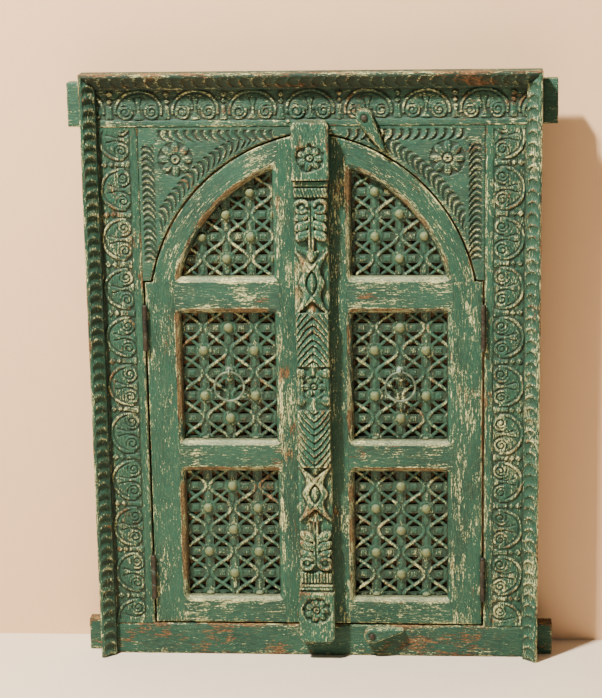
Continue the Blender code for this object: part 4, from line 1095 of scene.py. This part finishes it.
def latticeShape(x, z, firstRow, scale, bare):
    # depth behind the panel's front, how far outside the holes each point lies, and which are on a boss
    px, pz, firstColumn, ni, nj = latticeCell(x, z, firstRow, scale)
    # the wavy strands of the nearest column and its two neighbours
    strandAway = np.full_like(x, 99.0)
    for step in (-1, 0, 1):
        i = ni + step
        sign = np.where(i % 2 == 0, 1.0, -1.0)
        phase = (z - firstRow) * math.pi / pz
        at = firstColumn + i * px + sign * mesh["sway"] * scale * np.sin(phase)
        lean = mesh["sway"] * scale * math.pi / pz * np.cos(phase)
        strandAway = np.minimum(strandAway, np.abs(x - at) / np.sqrt(1 + lean**2))
    u = x - firstColumn - ni * px
    v = z - firstRow - nj * pz
    sign = np.where((ni + nj) % 2 == 0, 1.0, -1.0)
    stripAway = np.abs(u * pz + sign * v * px) / math.hypot(px, pz)
    box = np.maximum(np.abs(u) - mesh["eyeX"] * scale, np.abs(v) - mesh["eyeZ"] * scale)
    inside = np.maximum(np.maximum(box, mesh["strand"] - strandAway), mesh["strip"] - stripAway)
    strand = bead(strandAway, mesh["strand"]) ** 0.7
    strip = bead(stripAway, mesh["strip"]) ** 0.7
    height = np.full_like(x, 0.16)
    inEye = box < 3.0
    height = np.maximum(height, 0.44 * strip * inEye)
    # ribbed tongues on the upright bars and pads on the level ones
    cu = u - np.sign(u) * px / 2
    tongue = ease(mesh["tongueX"], mesh["tongueX"] - 1.2, np.abs(cu) + 0.16 * np.abs(v))
    tongue = tongue * ease(mesh["tongueZ"], mesh["tongueZ"] - 1.2, np.abs(v))
    height = np.maximum(height, tongue * (0.42 + 0.26 * bead(cu, 2.2)))
    cv = v - np.sign(v) * pz / 2
    pad = ease(mesh["padX"], mesh["padX"] - 0.8, np.abs(u))
    pad = pad * ease(mesh["padZ"], mesh["padZ"] - 0.8, np.abs(cv))
    height = np.maximum(height, pad * (0.62 + 0.30 * np.cos(u * math.tau / mesh["rib"])))
    # bosses in every other cell
    ci, cj = np.floor((x - firstColumn) / px), np.floor((z - firstRow) / pz)
    bx = x - firstColumn - (ci + 0.5) * px
    bz = z - firstRow - (cj + 0.5) * pz
    odd = (ci + cj) % 2 != 0
    r = np.hypot(bx, bz)
    disc = odd & (r < mesh["disc"] * scale)
    height = np.where(disc, 0.62 - 0.26 * ease(0.85, 0.6, r / (mesh["disc"] * scale)), height)
    height = np.maximum(height, strand * (0.9 + 0.1 * (box < 0)))
    depth = mesh["ground"] * (1 - height) + 0.15 * valueNoise(x / 3, z / 3, 101)
    dome = odd & (r < mesh["boss"] * scale)
    cell = (x > firstColumn - px) & (x < firstColumn + mesh["columns"] * px)
    if bare is not None:
        dome &= np.hypot(x - bare[0], z - bare[1]) > mesh["bare"]
    rise = mesh["bossHeight"] * bead(r, mesh["boss"] * scale) ** 0.9
    depth = np.where(dome & cell, 0.8 - rise - 0.8 * (rise > 1), depth)
    return depth, inside, dome


def makePanel(side, place, outline, xs, zs, firstRow, scale, bare, seed):
    def shown(x, z):
        # 1 where the lip doesn't cover the panel
        return ease(-7.4, -8.6, offOpening(x, z))

    def inside(x, z):
        wood = latticeShape(x, z, firstRow, scale, bare)[1]
        edge = outline(x, z)
        wood = np.where(edge < 3.0, np.maximum(wood, 3.0 - edge), wood)
        return np.minimum(edge, wood)

    def front(x, z):
        depth = latticeShape(x, z, firstRow, scale, bare)[0]
        depth = np.where(shown(x, z) > 0.5, depth - 0.3, np.maximum(depth, 0.3))
        return mesh["front"] + depth

    def high(x, z):
        depth, _, dome = latticeShape(x, z, firstRow, scale, bare)
        return np.clip(1 - depth / mesh["ground"], 0, 1.2), dome

    def wear(x, z):
        up, dome = high(x, z)
        patches = patchy(x, z, 14, 14, seed, -0.1, 0.7)
        worn = 0.58 * ease(0.66, 0.95, up) + 0.65 * patches * (up > 0.55)
        return np.where(dome, -0.55, worn)

    def pit(x, z):
        # painted shade on the low ground of the lattice and a painted shadow under the frame's lip
        return 0.66 * np.clip(1 - high(x, z)[0], 0, 1) ** 2 + 0.45 * ease(-10.5, -8, offOpening(x, z))

    marks = {"wear": wear, "pit": pit, "pale": lambda x, z: 0.24 * high(x, z)[1]}
    name = side + "Panel" + place.capitalize()
    piece = carve(name, xs, zs, inside, front, mesh["back"], upright(seed), marks, side == "left")
    return settle(piece, side + "_leaf", "pierced_panel", paints["panel"], f"{side}_panel_{place}")


def makePanels(side):
    slack = mesh["slack"]
    left, right = stileX + slack, hangX - slack
    xs = lines(left, right, mesh["step"])
    for k, (place, (low, high)) in enumerate(zip(("bottom", "middle"), openings)):
        low, high = low + slack, high - slack
        firstRow = (low + high - (mesh["rows"] - 1) * mesh["z"]) / 2 + mesh["lift"]

        def outline(x, z, low=low, high=high):
            return within(x, z, left, right, low, high)

        bare = ((left + right) / 2, firstRow + 2.5 * mesh["z"]) if place == "middle" else None
        zs = lines(low, high, mesh["step"])
        makePanel(side, place, outline, xs, zs, firstRow, 1.0, bare, 110 + k + 5 * (side == "left"))
    radius = headRadius - slack
    low = leafSpring + slack
    firstRow = low + 3.0 + mesh["topShare"] * mesh["eyeZ"] + 2.0

    def underArch(x, z):
        return np.minimum(np.minimum(x - left, z - low), radius - fromArch(x, z))

    archXs = lines(left, float(archX(np.array(low), radius)) + 0.5, mesh["step"])
    archZs = lines(low, float(archZ(np.array(left), radius)) + 0.5, mesh["step"])
    seed = 113 + 5 * (side == "left")
    makePanel(side, "top", underArch, archXs, archZs, firstRow, mesh["topShare"], None, seed)


for side in ("left", "right"):
    makePanels(side)
print("panels pierced")

# astragal: the carved bar over the meeting line, heights given up from the sill's foot
bar = {
    "half": 27.0, "slim": 25.4, "foot": 31.0, "top": 830.0, "seat": -36.3, "deep": 28.0, "round": 8.0,
    "button": 5.0, "flower": 19.0, "lowRose": 82.5, "highRose": 777.0, "middle": 434.0,
    "lowEyeMid": 268.0, "highEyeMid": 592.0, "step": 1.05,
    # where each stretch of carving ends
    "lowBlock": 112.0, "lowFillet": 125.0, "lowDentils": 143.0, "palmette": 224.0, "lowEye": 309.0,
    "lowChevron": 398.0, "flowerTop": 465.0, "highChevron": 547.0, "highEye": 640.0, "acanthus": 719.0,
    "highDentils": 734.0, "highFillet": 745.0,
}


def dentilRow(x, z, low, high, slant):
    t = (z - low) / (high - low)
    phase = (x + slant * (z - low)) / 4.7
    tooth = np.sin(np.clip(phase - np.floor(phase), 0, 1) * math.pi) ** 0.6
    return tooth * ease(-0.02, 0.10, t) * ease(1.02, 0.86, t)


def chevronRow(x, z, pitch, up):
    # feathers that meet at the middle and overlap the ones below them
    a = np.abs(x)
    lift = (a * 0.62 + 0.022 * a * a + 1.2 * valueNoise(x / 9, z / 9, 141)) * (1 if up else -1)
    phase = (z + lift) / pitch
    part = phase - np.floor(phase)
    blade = ease(0, 0.14, part) * (1 - 0.72 * part**1.2)
    rib = 0.10 * np.exp(-(((part - 0.45) / 0.09) ** 2))
    return blade - rib - 0.18 * bead(a, 1.2)


def eyeShape(x, z, middle, upper):
    # the pointed eye between two pairs of horns
    half = 46.0 if upper else 42.0
    t = (z - middle) / half
    a = np.abs(x)
    waist = 12.0 + 14.0 * np.clip(np.abs(t), 0, 1) ** 2.4 + 8.5 * np.exp(-((t / 0.24) ** 2))
    edge = ease(waist, waist - 2.4, a)
    body = 0.52 + 0.34 * (1 - np.clip(a / waist, 0, 1) ** 2)
    rx, rz = 7.8, 19.0 if upper else 15.5
    lens = np.clip(1 - (a / rx) - ((z - middle) / rz) ** 2, -1, 1)
    pupil = np.clip(lens, 0, 1) ** 0.5
    height = body * edge
    height = np.where(lens > 0, 0.30 + 0.55 * pupil, height - 0.45 * np.exp(-((lens / 0.15) ** 2)))
    # between the horns the wood is cut away, with a leaf's tip standing in the gap
    gap = 21.0 * np.clip(np.abs(t) - 0.56, 0, 1) / 0.44
    tip = 0.45 * np.clip(1 - a / (gap * 0.55 + 0.01), 0, 1) ** 0.6 * ease(0.60, 0.75, np.abs(t))
    cut = ease(0.8, -0.8, a - gap) * (np.abs(t) > 0.56)
    height = height * (1 - cut) + (0.12 + tip) * cut
    seam = np.abs(a - (2.0 + 26.0 * np.clip(np.abs(t) - 0.40, 0, 1)))
    height -= 0.16 * np.exp(-((seam / 1.0) ** 2)) * (np.abs(t) > 0.42) * (np.abs(t) < 0.8) * edge
    return np.clip(height, 0.05, 1)


def leafStack(x, z, low, high, up):
    # two hooked volutes at one end, three pairs of drooping lobes under them and a split stem
    length = high - low
    dist = z - low if up else high - z
    a = np.abs(x) + 0.5 * valueNoise(x / 8, z / 8, 143)
    height = 0.06 + 0 * x
    for k in (2, 1, 0):
        at = length - 27.0 - 14.5 * k
        # each lobe leaves the stem, bows out and hangs down at its end
        dx = a - 13.0
        dz = dist - at + 0.030 * dx * np.abs(dx) + 0.10 * dx
        r = np.sqrt((dx / 11.8) ** 2 + (dz / 8.4) ** 2)
        lobe = 0.42 + 0.50 * np.sqrt(np.clip(1 - r * r, 0, 1))
        lobe -= 0.10 * np.exp(-(((dz - 0.6) / 1.0) ** 2)) * (a < 20)
        rim = ease(1.0, 0.88, r)
        height = np.where(r < 1.0, height * (1 - rim) + lobe * rim, height)
        height -= 0.30 * np.exp(-(((r - 1.04) / 0.05) ** 2)) * (dz > 0)
    stem = ease(5.0, 3.4, a) * (0.66 - 0.34 * np.exp(-((a / 1.0) ** 2)))
    height = np.maximum(height, stem * ease(length - 2, length - 12, dist))
    cx, cz, size = 13.6, length - 13.2, 11.6
    rho = np.hypot(a - cx, dist - cz)
    turn = np.arctan2(dist - cz, a - cx)
    hook = bead(rho - 8.3, 3.9) * ease(-2.95, -2.5, turn)
    heart = bead(np.hypot(a - cx + 0.6, (dist - cz + 2.2) * 0.8), 5.6)
    scrolled = ease(size + 1.0, size - 0.6, rho)
    volute = np.maximum.reduce([0.56 + 0 * a, 0.98 * hook, 0.84 * heart])
    height = height * (1 - scrolled) + volute * scrolled
    return np.clip(height, 0.02, 1)


def blockFace(x, z, middle):
    height = 0.985 + 0 * x
    x = x + 0.9 * valueNoise(x / 7, z / 7, 145)
    z = z + 0.9 * valueNoise(x / 7, z / 7, 146)
    flower = rosette(x, z - middle, bar["flower"], 7, bar["button"], 1.7)[0]
    ragged = 2.2 * valueNoise(x / 5, z / 5, 147)
    hollow = ease(bar["flower"] + 3.2, bar["flower"] - 0.6, np.hypot(x, z - middle) + ragged)
    return height - 0.16 * hollow + 0.19 * flower


def barHeight(x, z):
    # share of the bar's depth at each point
    a = np.abs(x)
    crown = 1 - 0.10 * (a / bar["half"]) ** 2
    edge = ease(bar["slim"] + 0.4, bar["slim"] - 2.2, a)
    h = np.full_like(x, 0.8)

    def put(low, high, values):
        h[(z >= low) & (z < high)] = values[(z >= low) & (z < high)]

    put(bar["foot"] - 5, bar["lowBlock"], blockFace(x, z, bar["lowRose"]))
    put(bar["lowBlock"], bar["lowFillet"], 0.70 + 0.12 * ease(113, 114.5, z) * ease(124, 122.5, z)
        - 0.05 * np.exp(-(((z - 118.5) / 0.9) ** 2)) + 0 * x)
    put(bar["lowFillet"], bar["lowDentils"],
        0.68 + 0.14 * dentilRow(x, z, bar["lowFillet"], bar["lowDentils"], 0.0) * edge)
    put(bar["lowDentils"], bar["palmette"],
        0.60 + 0.34 * leafStack(x, z, bar["lowDentils"] + 1, bar["palmette"], False) * edge * crown)
    put(bar["palmette"], bar["lowEye"], 0.56 + 0.42 * eyeShape(x, z, bar["lowEyeMid"], False) * crown)
    put(bar["lowEye"], bar["lowChevron"], 0.72 + 0.18 * chevronRow(x, z, 11.2, False) * edge * crown)
    dz = z - bar["middle"]
    sway = 1.1 * valueNoise(x / 6, z / 6, 149)
    flower = rosette(x + sway, dz - sway, 18.5, 6, 4.4, 1.6)[0]
    squareOff = np.maximum(a, np.abs(dz) * 0.92)
    ears = bead(np.hypot(a - 19.0, np.abs(dz) - 21.5), 7.6)
    square = ease(24.5, 22.0, squareOff) * ease(14.0, 17.5, squareOff)
    point = np.clip(1 - a / (3.0 + 0.55 * np.abs(np.abs(dz) - 18)), 0, 1) * ease(17, 20, np.abs(dz))
    put(bar["lowChevron"], bar["flowerTop"],
        0.69 + 0.20 * np.maximum.reduce([0.20 * square, 0.9 * ears, 0.8 * point]) * edge + 0.20 * flower
        - 0.12 * ease(17.5, 15.0, np.hypot(x, dz)))
    put(bar["flowerTop"], bar["highChevron"], 0.72 + 0.18 * chevronRow(x, z, 10.8, True) * edge * crown)
    put(bar["highChevron"], bar["highEye"], 0.56 + 0.42 * eyeShape(x, z, bar["highEyeMid"], True) * crown)
    put(bar["highEye"], bar["acanthus"],
        0.60 + 0.34 * leafStack(x, z, bar["highEye"], bar["acanthus"], True) * edge * crown)
    put(bar["acanthus"], bar["highDentils"],
        0.70 + 0.12 * dentilRow(x, z, bar["acanthus"], bar["highDentils"], 0.35) * edge)
    put(bar["highDentils"], bar["highFillet"],
        0.70 + 0.13 * ease(735, 736.5, z) * ease(744.5, 743, z) + 0 * x)
    put(bar["highFillet"], 900.0, blockFace(x, z, bar["highRose"]))
    return h


def barOutline(x, z):
    a = np.abs(x)
    r = bar["round"]
    mid, half = (bar["foot"] + bar["top"]) / 2, (bar["top"] - bar["foot"]) / 2
    qx, qz = a - bar["half"] + r, np.abs(z - mid) - half + r
    ends = -(np.hypot(np.maximum(qx, 0), np.maximum(qz, 0)) + np.minimum(np.maximum(qx, qz), 0) - r)
    slim = ease(113, 115, z) * ease(744, 742, z)
    return np.minimum(ends, bar["half"] - (bar["half"] - bar["slim"]) * slim - a)


def barFront(x, z):
    worn = 0.35 * valueNoise(x / 6, z / 9, 131) + 0.22 * valueNoise(x / 2.4, z / 2.4, 132)
    arris = 1.6 * ease(2.6, 0, barOutline(x, z))
    return bar["seat"] - bar["deep"] * np.clip(barHeight(x, z), 0.3, 1.0) + np.maximum(worn, -0.1) + arris


def eyeZone(z):
    # where the two eyes and their horns are, the most handled carving
    return ease(545, 552, z) * ease(640, 633, z) + 0.6 * ease(224, 231, z) * ease(311, 304, z)


def makeAstragal():
    xs = lines(-bar["half"], bar["half"], bar["step"])
    zs = lines(bar["foot"], bar["top"], bar["step"])
    crests, hollows = reliefMarks(barFront, xs, zs, 1.1, 1.1)
    marks = {
        "wear": lambda x, z: crests(x, z) + 0.5 * ease(3.2, 0, barOutline(x, z))
        + 0.4 * patchy(x, z, 16, 40, 134, 0.0, 0.9)
        + 0.75 * patchy(x, z, 11, 15, 137, -0.4, 0.5) * eyeZone(z),
        "pit": hollows,
    }
    piece = carve("astragalCarved", xs, zs, barOutline, barFront, bar["seat"], upright(13), marks)
    return settle(piece, "right_leaf", "carved_astragal", paints["astragal"], "astragal")


makeAstragal()
print("astragal carved")

# turn-buttons
button = {"head": 12.5, "tip": 3.5, "front": -53.0, "back": -39.0, "round": 4.2, "step": 0.9}
# each button's pivot, length, angle above level and seed
turnButtons = {"top": (79.0, 834.0, 56.0, -60.0, 3), "bottom": (83.6, 38.0, 49.0, 9.0, 4)}


def makeButton(name, node, body, px, pz, length, degrees, seed):
    turn = math.radians(degrees)
    reach = length - button["tip"]
    slope = (button["head"] - button["tip"]) / reach
    rise = math.sqrt(1 - slope**2)

    def inside(x, z):
        dx, dz = x - px, z - pz
        along = dx * math.cos(turn) + dz * math.sin(turn)
        off = np.abs(-dx * math.sin(turn) + dz * math.cos(turn))
        k = -slope * off + rise * along
        away = off * rise + along * slope - button["head"]
        away = np.where(k < 0, np.hypot(off, along) - button["head"], away)
        return -np.where(k > rise * reach, np.hypot(off, along - reach) - button["tip"], away)

    def front(x, z):
        into = np.clip(inside(x, z) / button["round"], 0, 1)
        along = (x - px) * math.cos(turn) + (z - pz) * math.sin(turn)
        thin = 3.5 * ease(6, length, along)
        dish = 0.8 * np.exp(-((np.hypot(x - px, z - pz) / 5.5) ** 2))
        roll = (1 - np.sqrt(np.clip(1 - (1 - into) ** 2, 0, 1))) * 4.6
        return button["front"] + thin + roll + dish + 0.25 * valueNoise(x / 4, z / 4, seed)

    def alongButton(x, y, z):
        return (-(x - px) * math.sin(turn) + (z - pz) * math.cos(turn) + seed * 9.7, y + seed,
                (x - px) * math.cos(turn) + (z - pz) * math.sin(turn) + seed * 5.3)

    ends = (px + reach * math.cos(turn), pz + reach * math.sin(turn))
    xs = lines(min(px, ends[0]) - 13, max(px, ends[0]) + 13, button["step"])
    zs = lines(min(pz, ends[1]) - 13, max(pz, ends[1]) + 13, button["step"])
    marks = {
        "wear": lambda x, z: 0.9 * ease(5, 1, inside(x, z))
        + 0.5 * patchy(x, z, 7, 7, seed, 0, 0.8),
        "pit": lambda x, z: 0.8 * ease(8, 5.0, np.hypot(x - px, z - pz)),
    }
    piece = carve(name, xs, zs, inside, front, button["back"], alongButton, marks)
    return settle(piece, body, "turn_button", paints["latch"], node)


for where, sizes in turnButtons.items():
    makeButton(where + "Button", where + "_latch", where + "_latch_body", *sizes)


# ironwork
def revolve(name, centre, axis, profile, sides=28):
    # profile is (along, radius) pairs, turned round an axis of "y" or "z" through centre.
    # One that comes back to its first pair makes a tube, any other one is capped.
    tube = profile[0] == profile[-1]
    turns = np.arange(sides) * math.tau / sides
    rows = []
    for along, radius in profile[:-1] if tube else profile:
        a, b = radius * np.cos(turns), radius * np.sin(turns)
        flat = np.full(sides, float(along))
        rows.append(np.stack((a, flat, b) if axis == "y" else (a, b, flat), 1))
    points = np.concatenate(rows) + np.array(centre)
    idx = np.arange(len(rows) * sides).reshape(len(rows), sides)
    turned = np.roll(idx, -1, axis=1)
    faces = np.stack([idx, turned, np.roll(turned, -1, axis=0), np.roll(idx, -1, axis=0)], -1)
    if tube:
        return softened(makeMesh(name, points, [faces.reshape(-1, 4)]))
    return softened(makeMesh(name, points, [faces[:-1].reshape(-1, 4), idx[:1, ::-1], idx[-1:]]))


def softened(piece):
    # smooth iron with its edges kept
    faceOut(piece, weld=1e-6)
    piece.data.shade_smooth()
    piece.data.set_sharp_from_angle(angle=math.radians(32))
    return piece


def bent(name, centre, radius, wire, plane, segments=72, sides=14, thin=0.0):
    # a closed round wire, a little worn on one side
    turns = np.arange(segments) * math.tau / segments
    rolls = np.arange(sides) * math.tau / sides
    t, r = np.meshgrid(turns, rolls, indexing="ij")
    w = wire * (1 - thin * (0.5 + 0.5 * np.sin(t)))
    out = radius + w * np.cos(r)
    a, b, c = out * np.cos(t), out * np.sin(t), w * np.sin(r)
    points = np.stack((a, c, b) if plane == "xz" else (c, a, b), -1).reshape(-1, 3) + np.array(centre)
    idx = np.arange(segments * sides).reshape(segments, sides)
    on = np.roll(idx, -1, axis=0)
    faces = np.stack([idx, on, np.roll(on, -1, axis=1), np.roll(idx, -1, axis=1)], -1).reshape(-1, 4)
    return softened(makeMesh(name, points, [faces]))


def slabBox(name, low, high, soften=0.3):
    # a small plate with eased edges
    points = [(x, y, z) for x in (low[0], high[0]) for y in (low[1], high[1]) for z in (low[2], high[2])]
    faces = np.array([(0, 1, 3, 2), (4, 6, 7, 5), (0, 4, 5, 1), (2, 3, 7, 6), (0, 2, 6, 4), (1, 5, 7, 3)])
    return faceOut(makeMesh(name, points, [faces], np.zeros(6, bool)), soften=soften)


hinge = {
    "x": 251.8, "y": -40.3, "r": 4.0, "length": 70.0, "bore": 2.5, "pin": 1.8, "plate": 1.2, "back": -14.3,
    "slack": 0.6, "cut": -35.4, "upper": 519.972, "lower": 127.0, "jambSide": 253.2, "leafSide": 250.4,
}


def knuckle(low, high, bore=None):
    # a turned knuckle with eased ends, hollow if it has a bore
    r = hinge["r"]
    outer = [(low, r - 0.7), (low + 0.7, r), (high - 0.7, r), (high, r - 0.7)]
    if bore is None:
        return [(low, 0.01), *outer, (high, 0.01)]
    return [(low, bore), *outer, (high, bore), (low, bore)]


def makeHinge(side, where, z):
    sign = -1 if side == "left" else 1
    axis = (sign * hinge["x"], hinge["y"], 0)
    low, high = z - hinge["length"] / 2, z + hinge["length"] / 2
    first, second = low + hinge["length"] / 3, high - hinge["length"] / 3
    slack, r = hinge["slack"], hinge["r"]
    name = where + side.capitalize() + "Hinge"
    pin = [(first, hinge["pin"]), (second, hinge["pin"])]
    turned = knuckle(low, first)[:-1] + pin + knuckle(second, high)[1:]
    parts = [revolve(name + "Frame", axis, "z", turned)]
    outer = sorted((sign * hinge["jambSide"], sign * (hinge["jambSide"] - hinge["plate"])))
    for a, b in ((low, first - slack), (second + slack, high)):
        parts.append(slabBox(name, (outer[0], hinge["y"], a), (outer[1], hinge["back"], b)))
    parts.append(slabBox(name, (outer[0], hinge["cut"], low), (outer[1], hinge["back"], high)))
    settle(joinPieces(parts, name + "Frame"), "frame", "old_iron", paints["iron"],
           f"hinge_{where}_{side}_frame_half")
    ring = knuckle(first + slack, second - slack, hinge["bore"])
    parts = [revolve(name + "Leaf", axis, "z", ring)]
    inner = sorted((sign * hinge["leafSide"], sign * (hinge["leafSide"] + hinge["plate"])))
    parts.append(slabBox(name, (inner[0], hinge["cut"], low), (inner[1], hinge["back"], high)))
    near = hinge["y"] + 0.8 * r
    parts.append(slabBox(name, (inner[0], near, first + 2 * slack),
                         (inner[1], hinge["back"], second - 2 * slack)))
    settle(joinPieces(parts, name + "Leaf"), side + "_leaf", "old_iron", paints["iron"],
           f"hinge_{where}_{side}_leaf_half")


pull = {
    "x": 128.464, "y": -32.5, "eyeZ": 450.472, "ring": 22.3, "wire": 1.9, "eye": 4.5, "eyeWire": 1.3,
    "dome": 6.8, "domeHigh": 4.3, "seat": -24.0,
}


def makePull(side):
    sign = -1 if side == "left" else 1
    x = sign * pull["x"]
    dome = [(pull["seat"], 0.01), (pull["seat"], pull["dome"])]
    for k in range(1, 8):
        t = k / 7
        dome.append((pull["seat"] - pull["domeHigh"] * math.sin(t * math.pi / 2) ** 0.8,
                     max(pull["dome"] * math.cos(t * math.pi / 2) ** 0.7, 0.01)))
    eye = (x, pull["y"], pull["eyeZ"])
    parts = [revolve(side + "Staple", (x, 0, pull["eyeZ"]), "y", dome),
             bent(side + "Eye", eye, pull["eye"], pull["eyeWire"], "yz", 40, 12)]
    settle(joinPieces(parts, side + "Staple"), side + "_leaf", "ring_iron", paints["ring"],
           side + "_ring_staple")
    hung = (x, pull["y"], pull["eyeZ"] - pull["ring"])
    ring = bent(side + "Ring", hung, pull["ring"], pull["wire"], "xz", 96, 16, 0.12)
    settle(ring, side + "_ring_body", "ring_iron", paints["ring"], side + "_ring")


screw = {"shank": 2.0, "head": 4.5, "under": -53.3, "deep": -24.0, "dome": 2.475}


def makeScrew(name, node, x, z):
    under, head = screw["under"], screw["head"]
    profile = [(screw["deep"], 0.01), (screw["deep"], screw["shank"]), (under, screw["shank"]), (under, head),
               (under - 0.8, head)]
    for k in range(1, 6):
        t = k / 5 * math.pi / 2
        profile.append((under - 0.8 - (screw["dome"] - 0.8) * math.sin(t), max(head * math.cos(t), 0.01)))
    settle(revolve(name, (x, 0, z), "y", profile, 24), "frame", "old_iron", paints["iron"], node)


for side in ("left", "right"):
    makeHinge(side, "upper", hinge["upper"])
    makeHinge(side, "lower", hinge["lower"])
    makePull(side)
for where, sizes in turnButtons.items():
    makeScrew(where + "Screw", where + "_latch_screw", *sizes[:2])
print("ironwork fitted")


# stage, light and camera
stage = {
    "floor": -mountUp / 1000, "floorBack": 0.5, "wall": 0.040, "wide": 6.0, "air": (0.92, 0.90, 0.86),
    "glow": 0.10,
}
lamps = {
    "keyLight": {"place": (-1.38, -1.68, 2.65), "target": (0.0, 0.0, -0.42), "size": (0.26, 0.26),
                 "power": 520, "tone": (1.0, 0.93, 0.80)},
    "fillLight": {"place": (2.3, -2.3, 0.9), "target": (0.0, 0.0, -0.4), "size": (1.8, 1.8),
                  "power": 4, "tone": (0.95, 0.97, 1.0)},
}


def plainFinish(name, rgb, rough, scale):
    material, nodes, links, shader = freshMaterial(name)
    coord, speckle, ramp = (nodes.new(kind) for kind in
                            ("ShaderNodeTexCoord", "ShaderNodeTexNoise", "ShaderNodeValToRGB"))
    speckle.inputs["Scale"].default_value = scale
    ramp.color_ramp.elements[0].color = (*(0.96 * c for c in rgb), 1)
    ramp.color_ramp.elements[1].color = (*rgb, 1)
    links.new(coord.outputs["Object"], speckle.inputs["Vector"])
    links.new(speckle.outputs["Fac"], ramp.inputs["Fac"])
    links.new(ramp.outputs["Color"], shader.inputs["Base Color"])
    shader.inputs["Roughness"].default_value = rough
    return material


def sheet(name, corners, material):
    made = bpy.data.meshes.new(name)
    made.from_pydata(corners, [], [(0, 1, 2, 3)])
    made.materials.append(material)
    intoScene(name, made)


w, z0, y0, y1 = stage["wide"], stage["floor"], stage["wall"], stage["floorBack"]
sheet("floor", [(-w, -w, z0), (w, -w, z0), (w, y1, z0), (-w, y1, z0)],
      plainFinish("paleFloor", (0.70, 0.60, 0.48), 0.8, 30))
sheet("wall", [(-w, y0, z0), (w, y0, z0), (w, y0, w), (-w, y0, w)],
      plainFinish("paleWall", (0.80, 0.53, 0.32), 0.9, 40))


def softBox(name, place, target, size, power, tone):
    lamp = bpy.data.lights.new(name, "AREA")
    lamp.shape = "RECTANGLE"
    lamp.size, lamp.size_y = size
    lamp.energy = power
    lamp.color = tone
    holder = intoScene(name, lamp)
    holder.location = place
    holder.rotation_euler = (Vector(target) - Vector(place)).to_track_quat("-Z", "Y").to_euler()


for name, lamp in lamps.items():
    softBox(name, **lamp)
world = bpy.data.worlds.new("studio")
bpy.context.scene.world = world
world.use_nodes = True
sky = world.node_tree.nodes["Background"]
sky.inputs["Color"].default_value = (*stage["air"], 1)
sky.inputs["Strength"].default_value = stage["glow"]

view = {"place": (0.2075, -3.021, 0.369), "yaw": -0.0758, "pitch": 0.2405, "roll": -0.0174, "lens": 123.58}
yaw, pitch, roll = view["yaw"], view["pitch"], view["roll"]
ahead = Vector((math.sin(yaw) * math.cos(pitch), math.cos(yaw) * math.cos(pitch), -math.sin(pitch)))
rightward = Vector((math.cos(yaw), -math.sin(yaw), 0))
over = rightward.cross(ahead)
rightWay = math.cos(roll) * rightward + math.sin(roll) * over
upWay = math.cos(roll) * over - math.sin(roll) * rightward
lens = bpy.data.cameras.new("camera")
lens.sensor_fit = "HORIZONTAL"
lens.sensor_width = 36.0
lens.lens = view["lens"]
camera = intoScene("camera", lens)
turned = Matrix((rightWay, upWay, -ahead)).transposed()
camera.matrix_world = Matrix.Translation(view["place"]) @ turned.to_4x4()
bpy.context.scene.camera = camera
print("stage set")
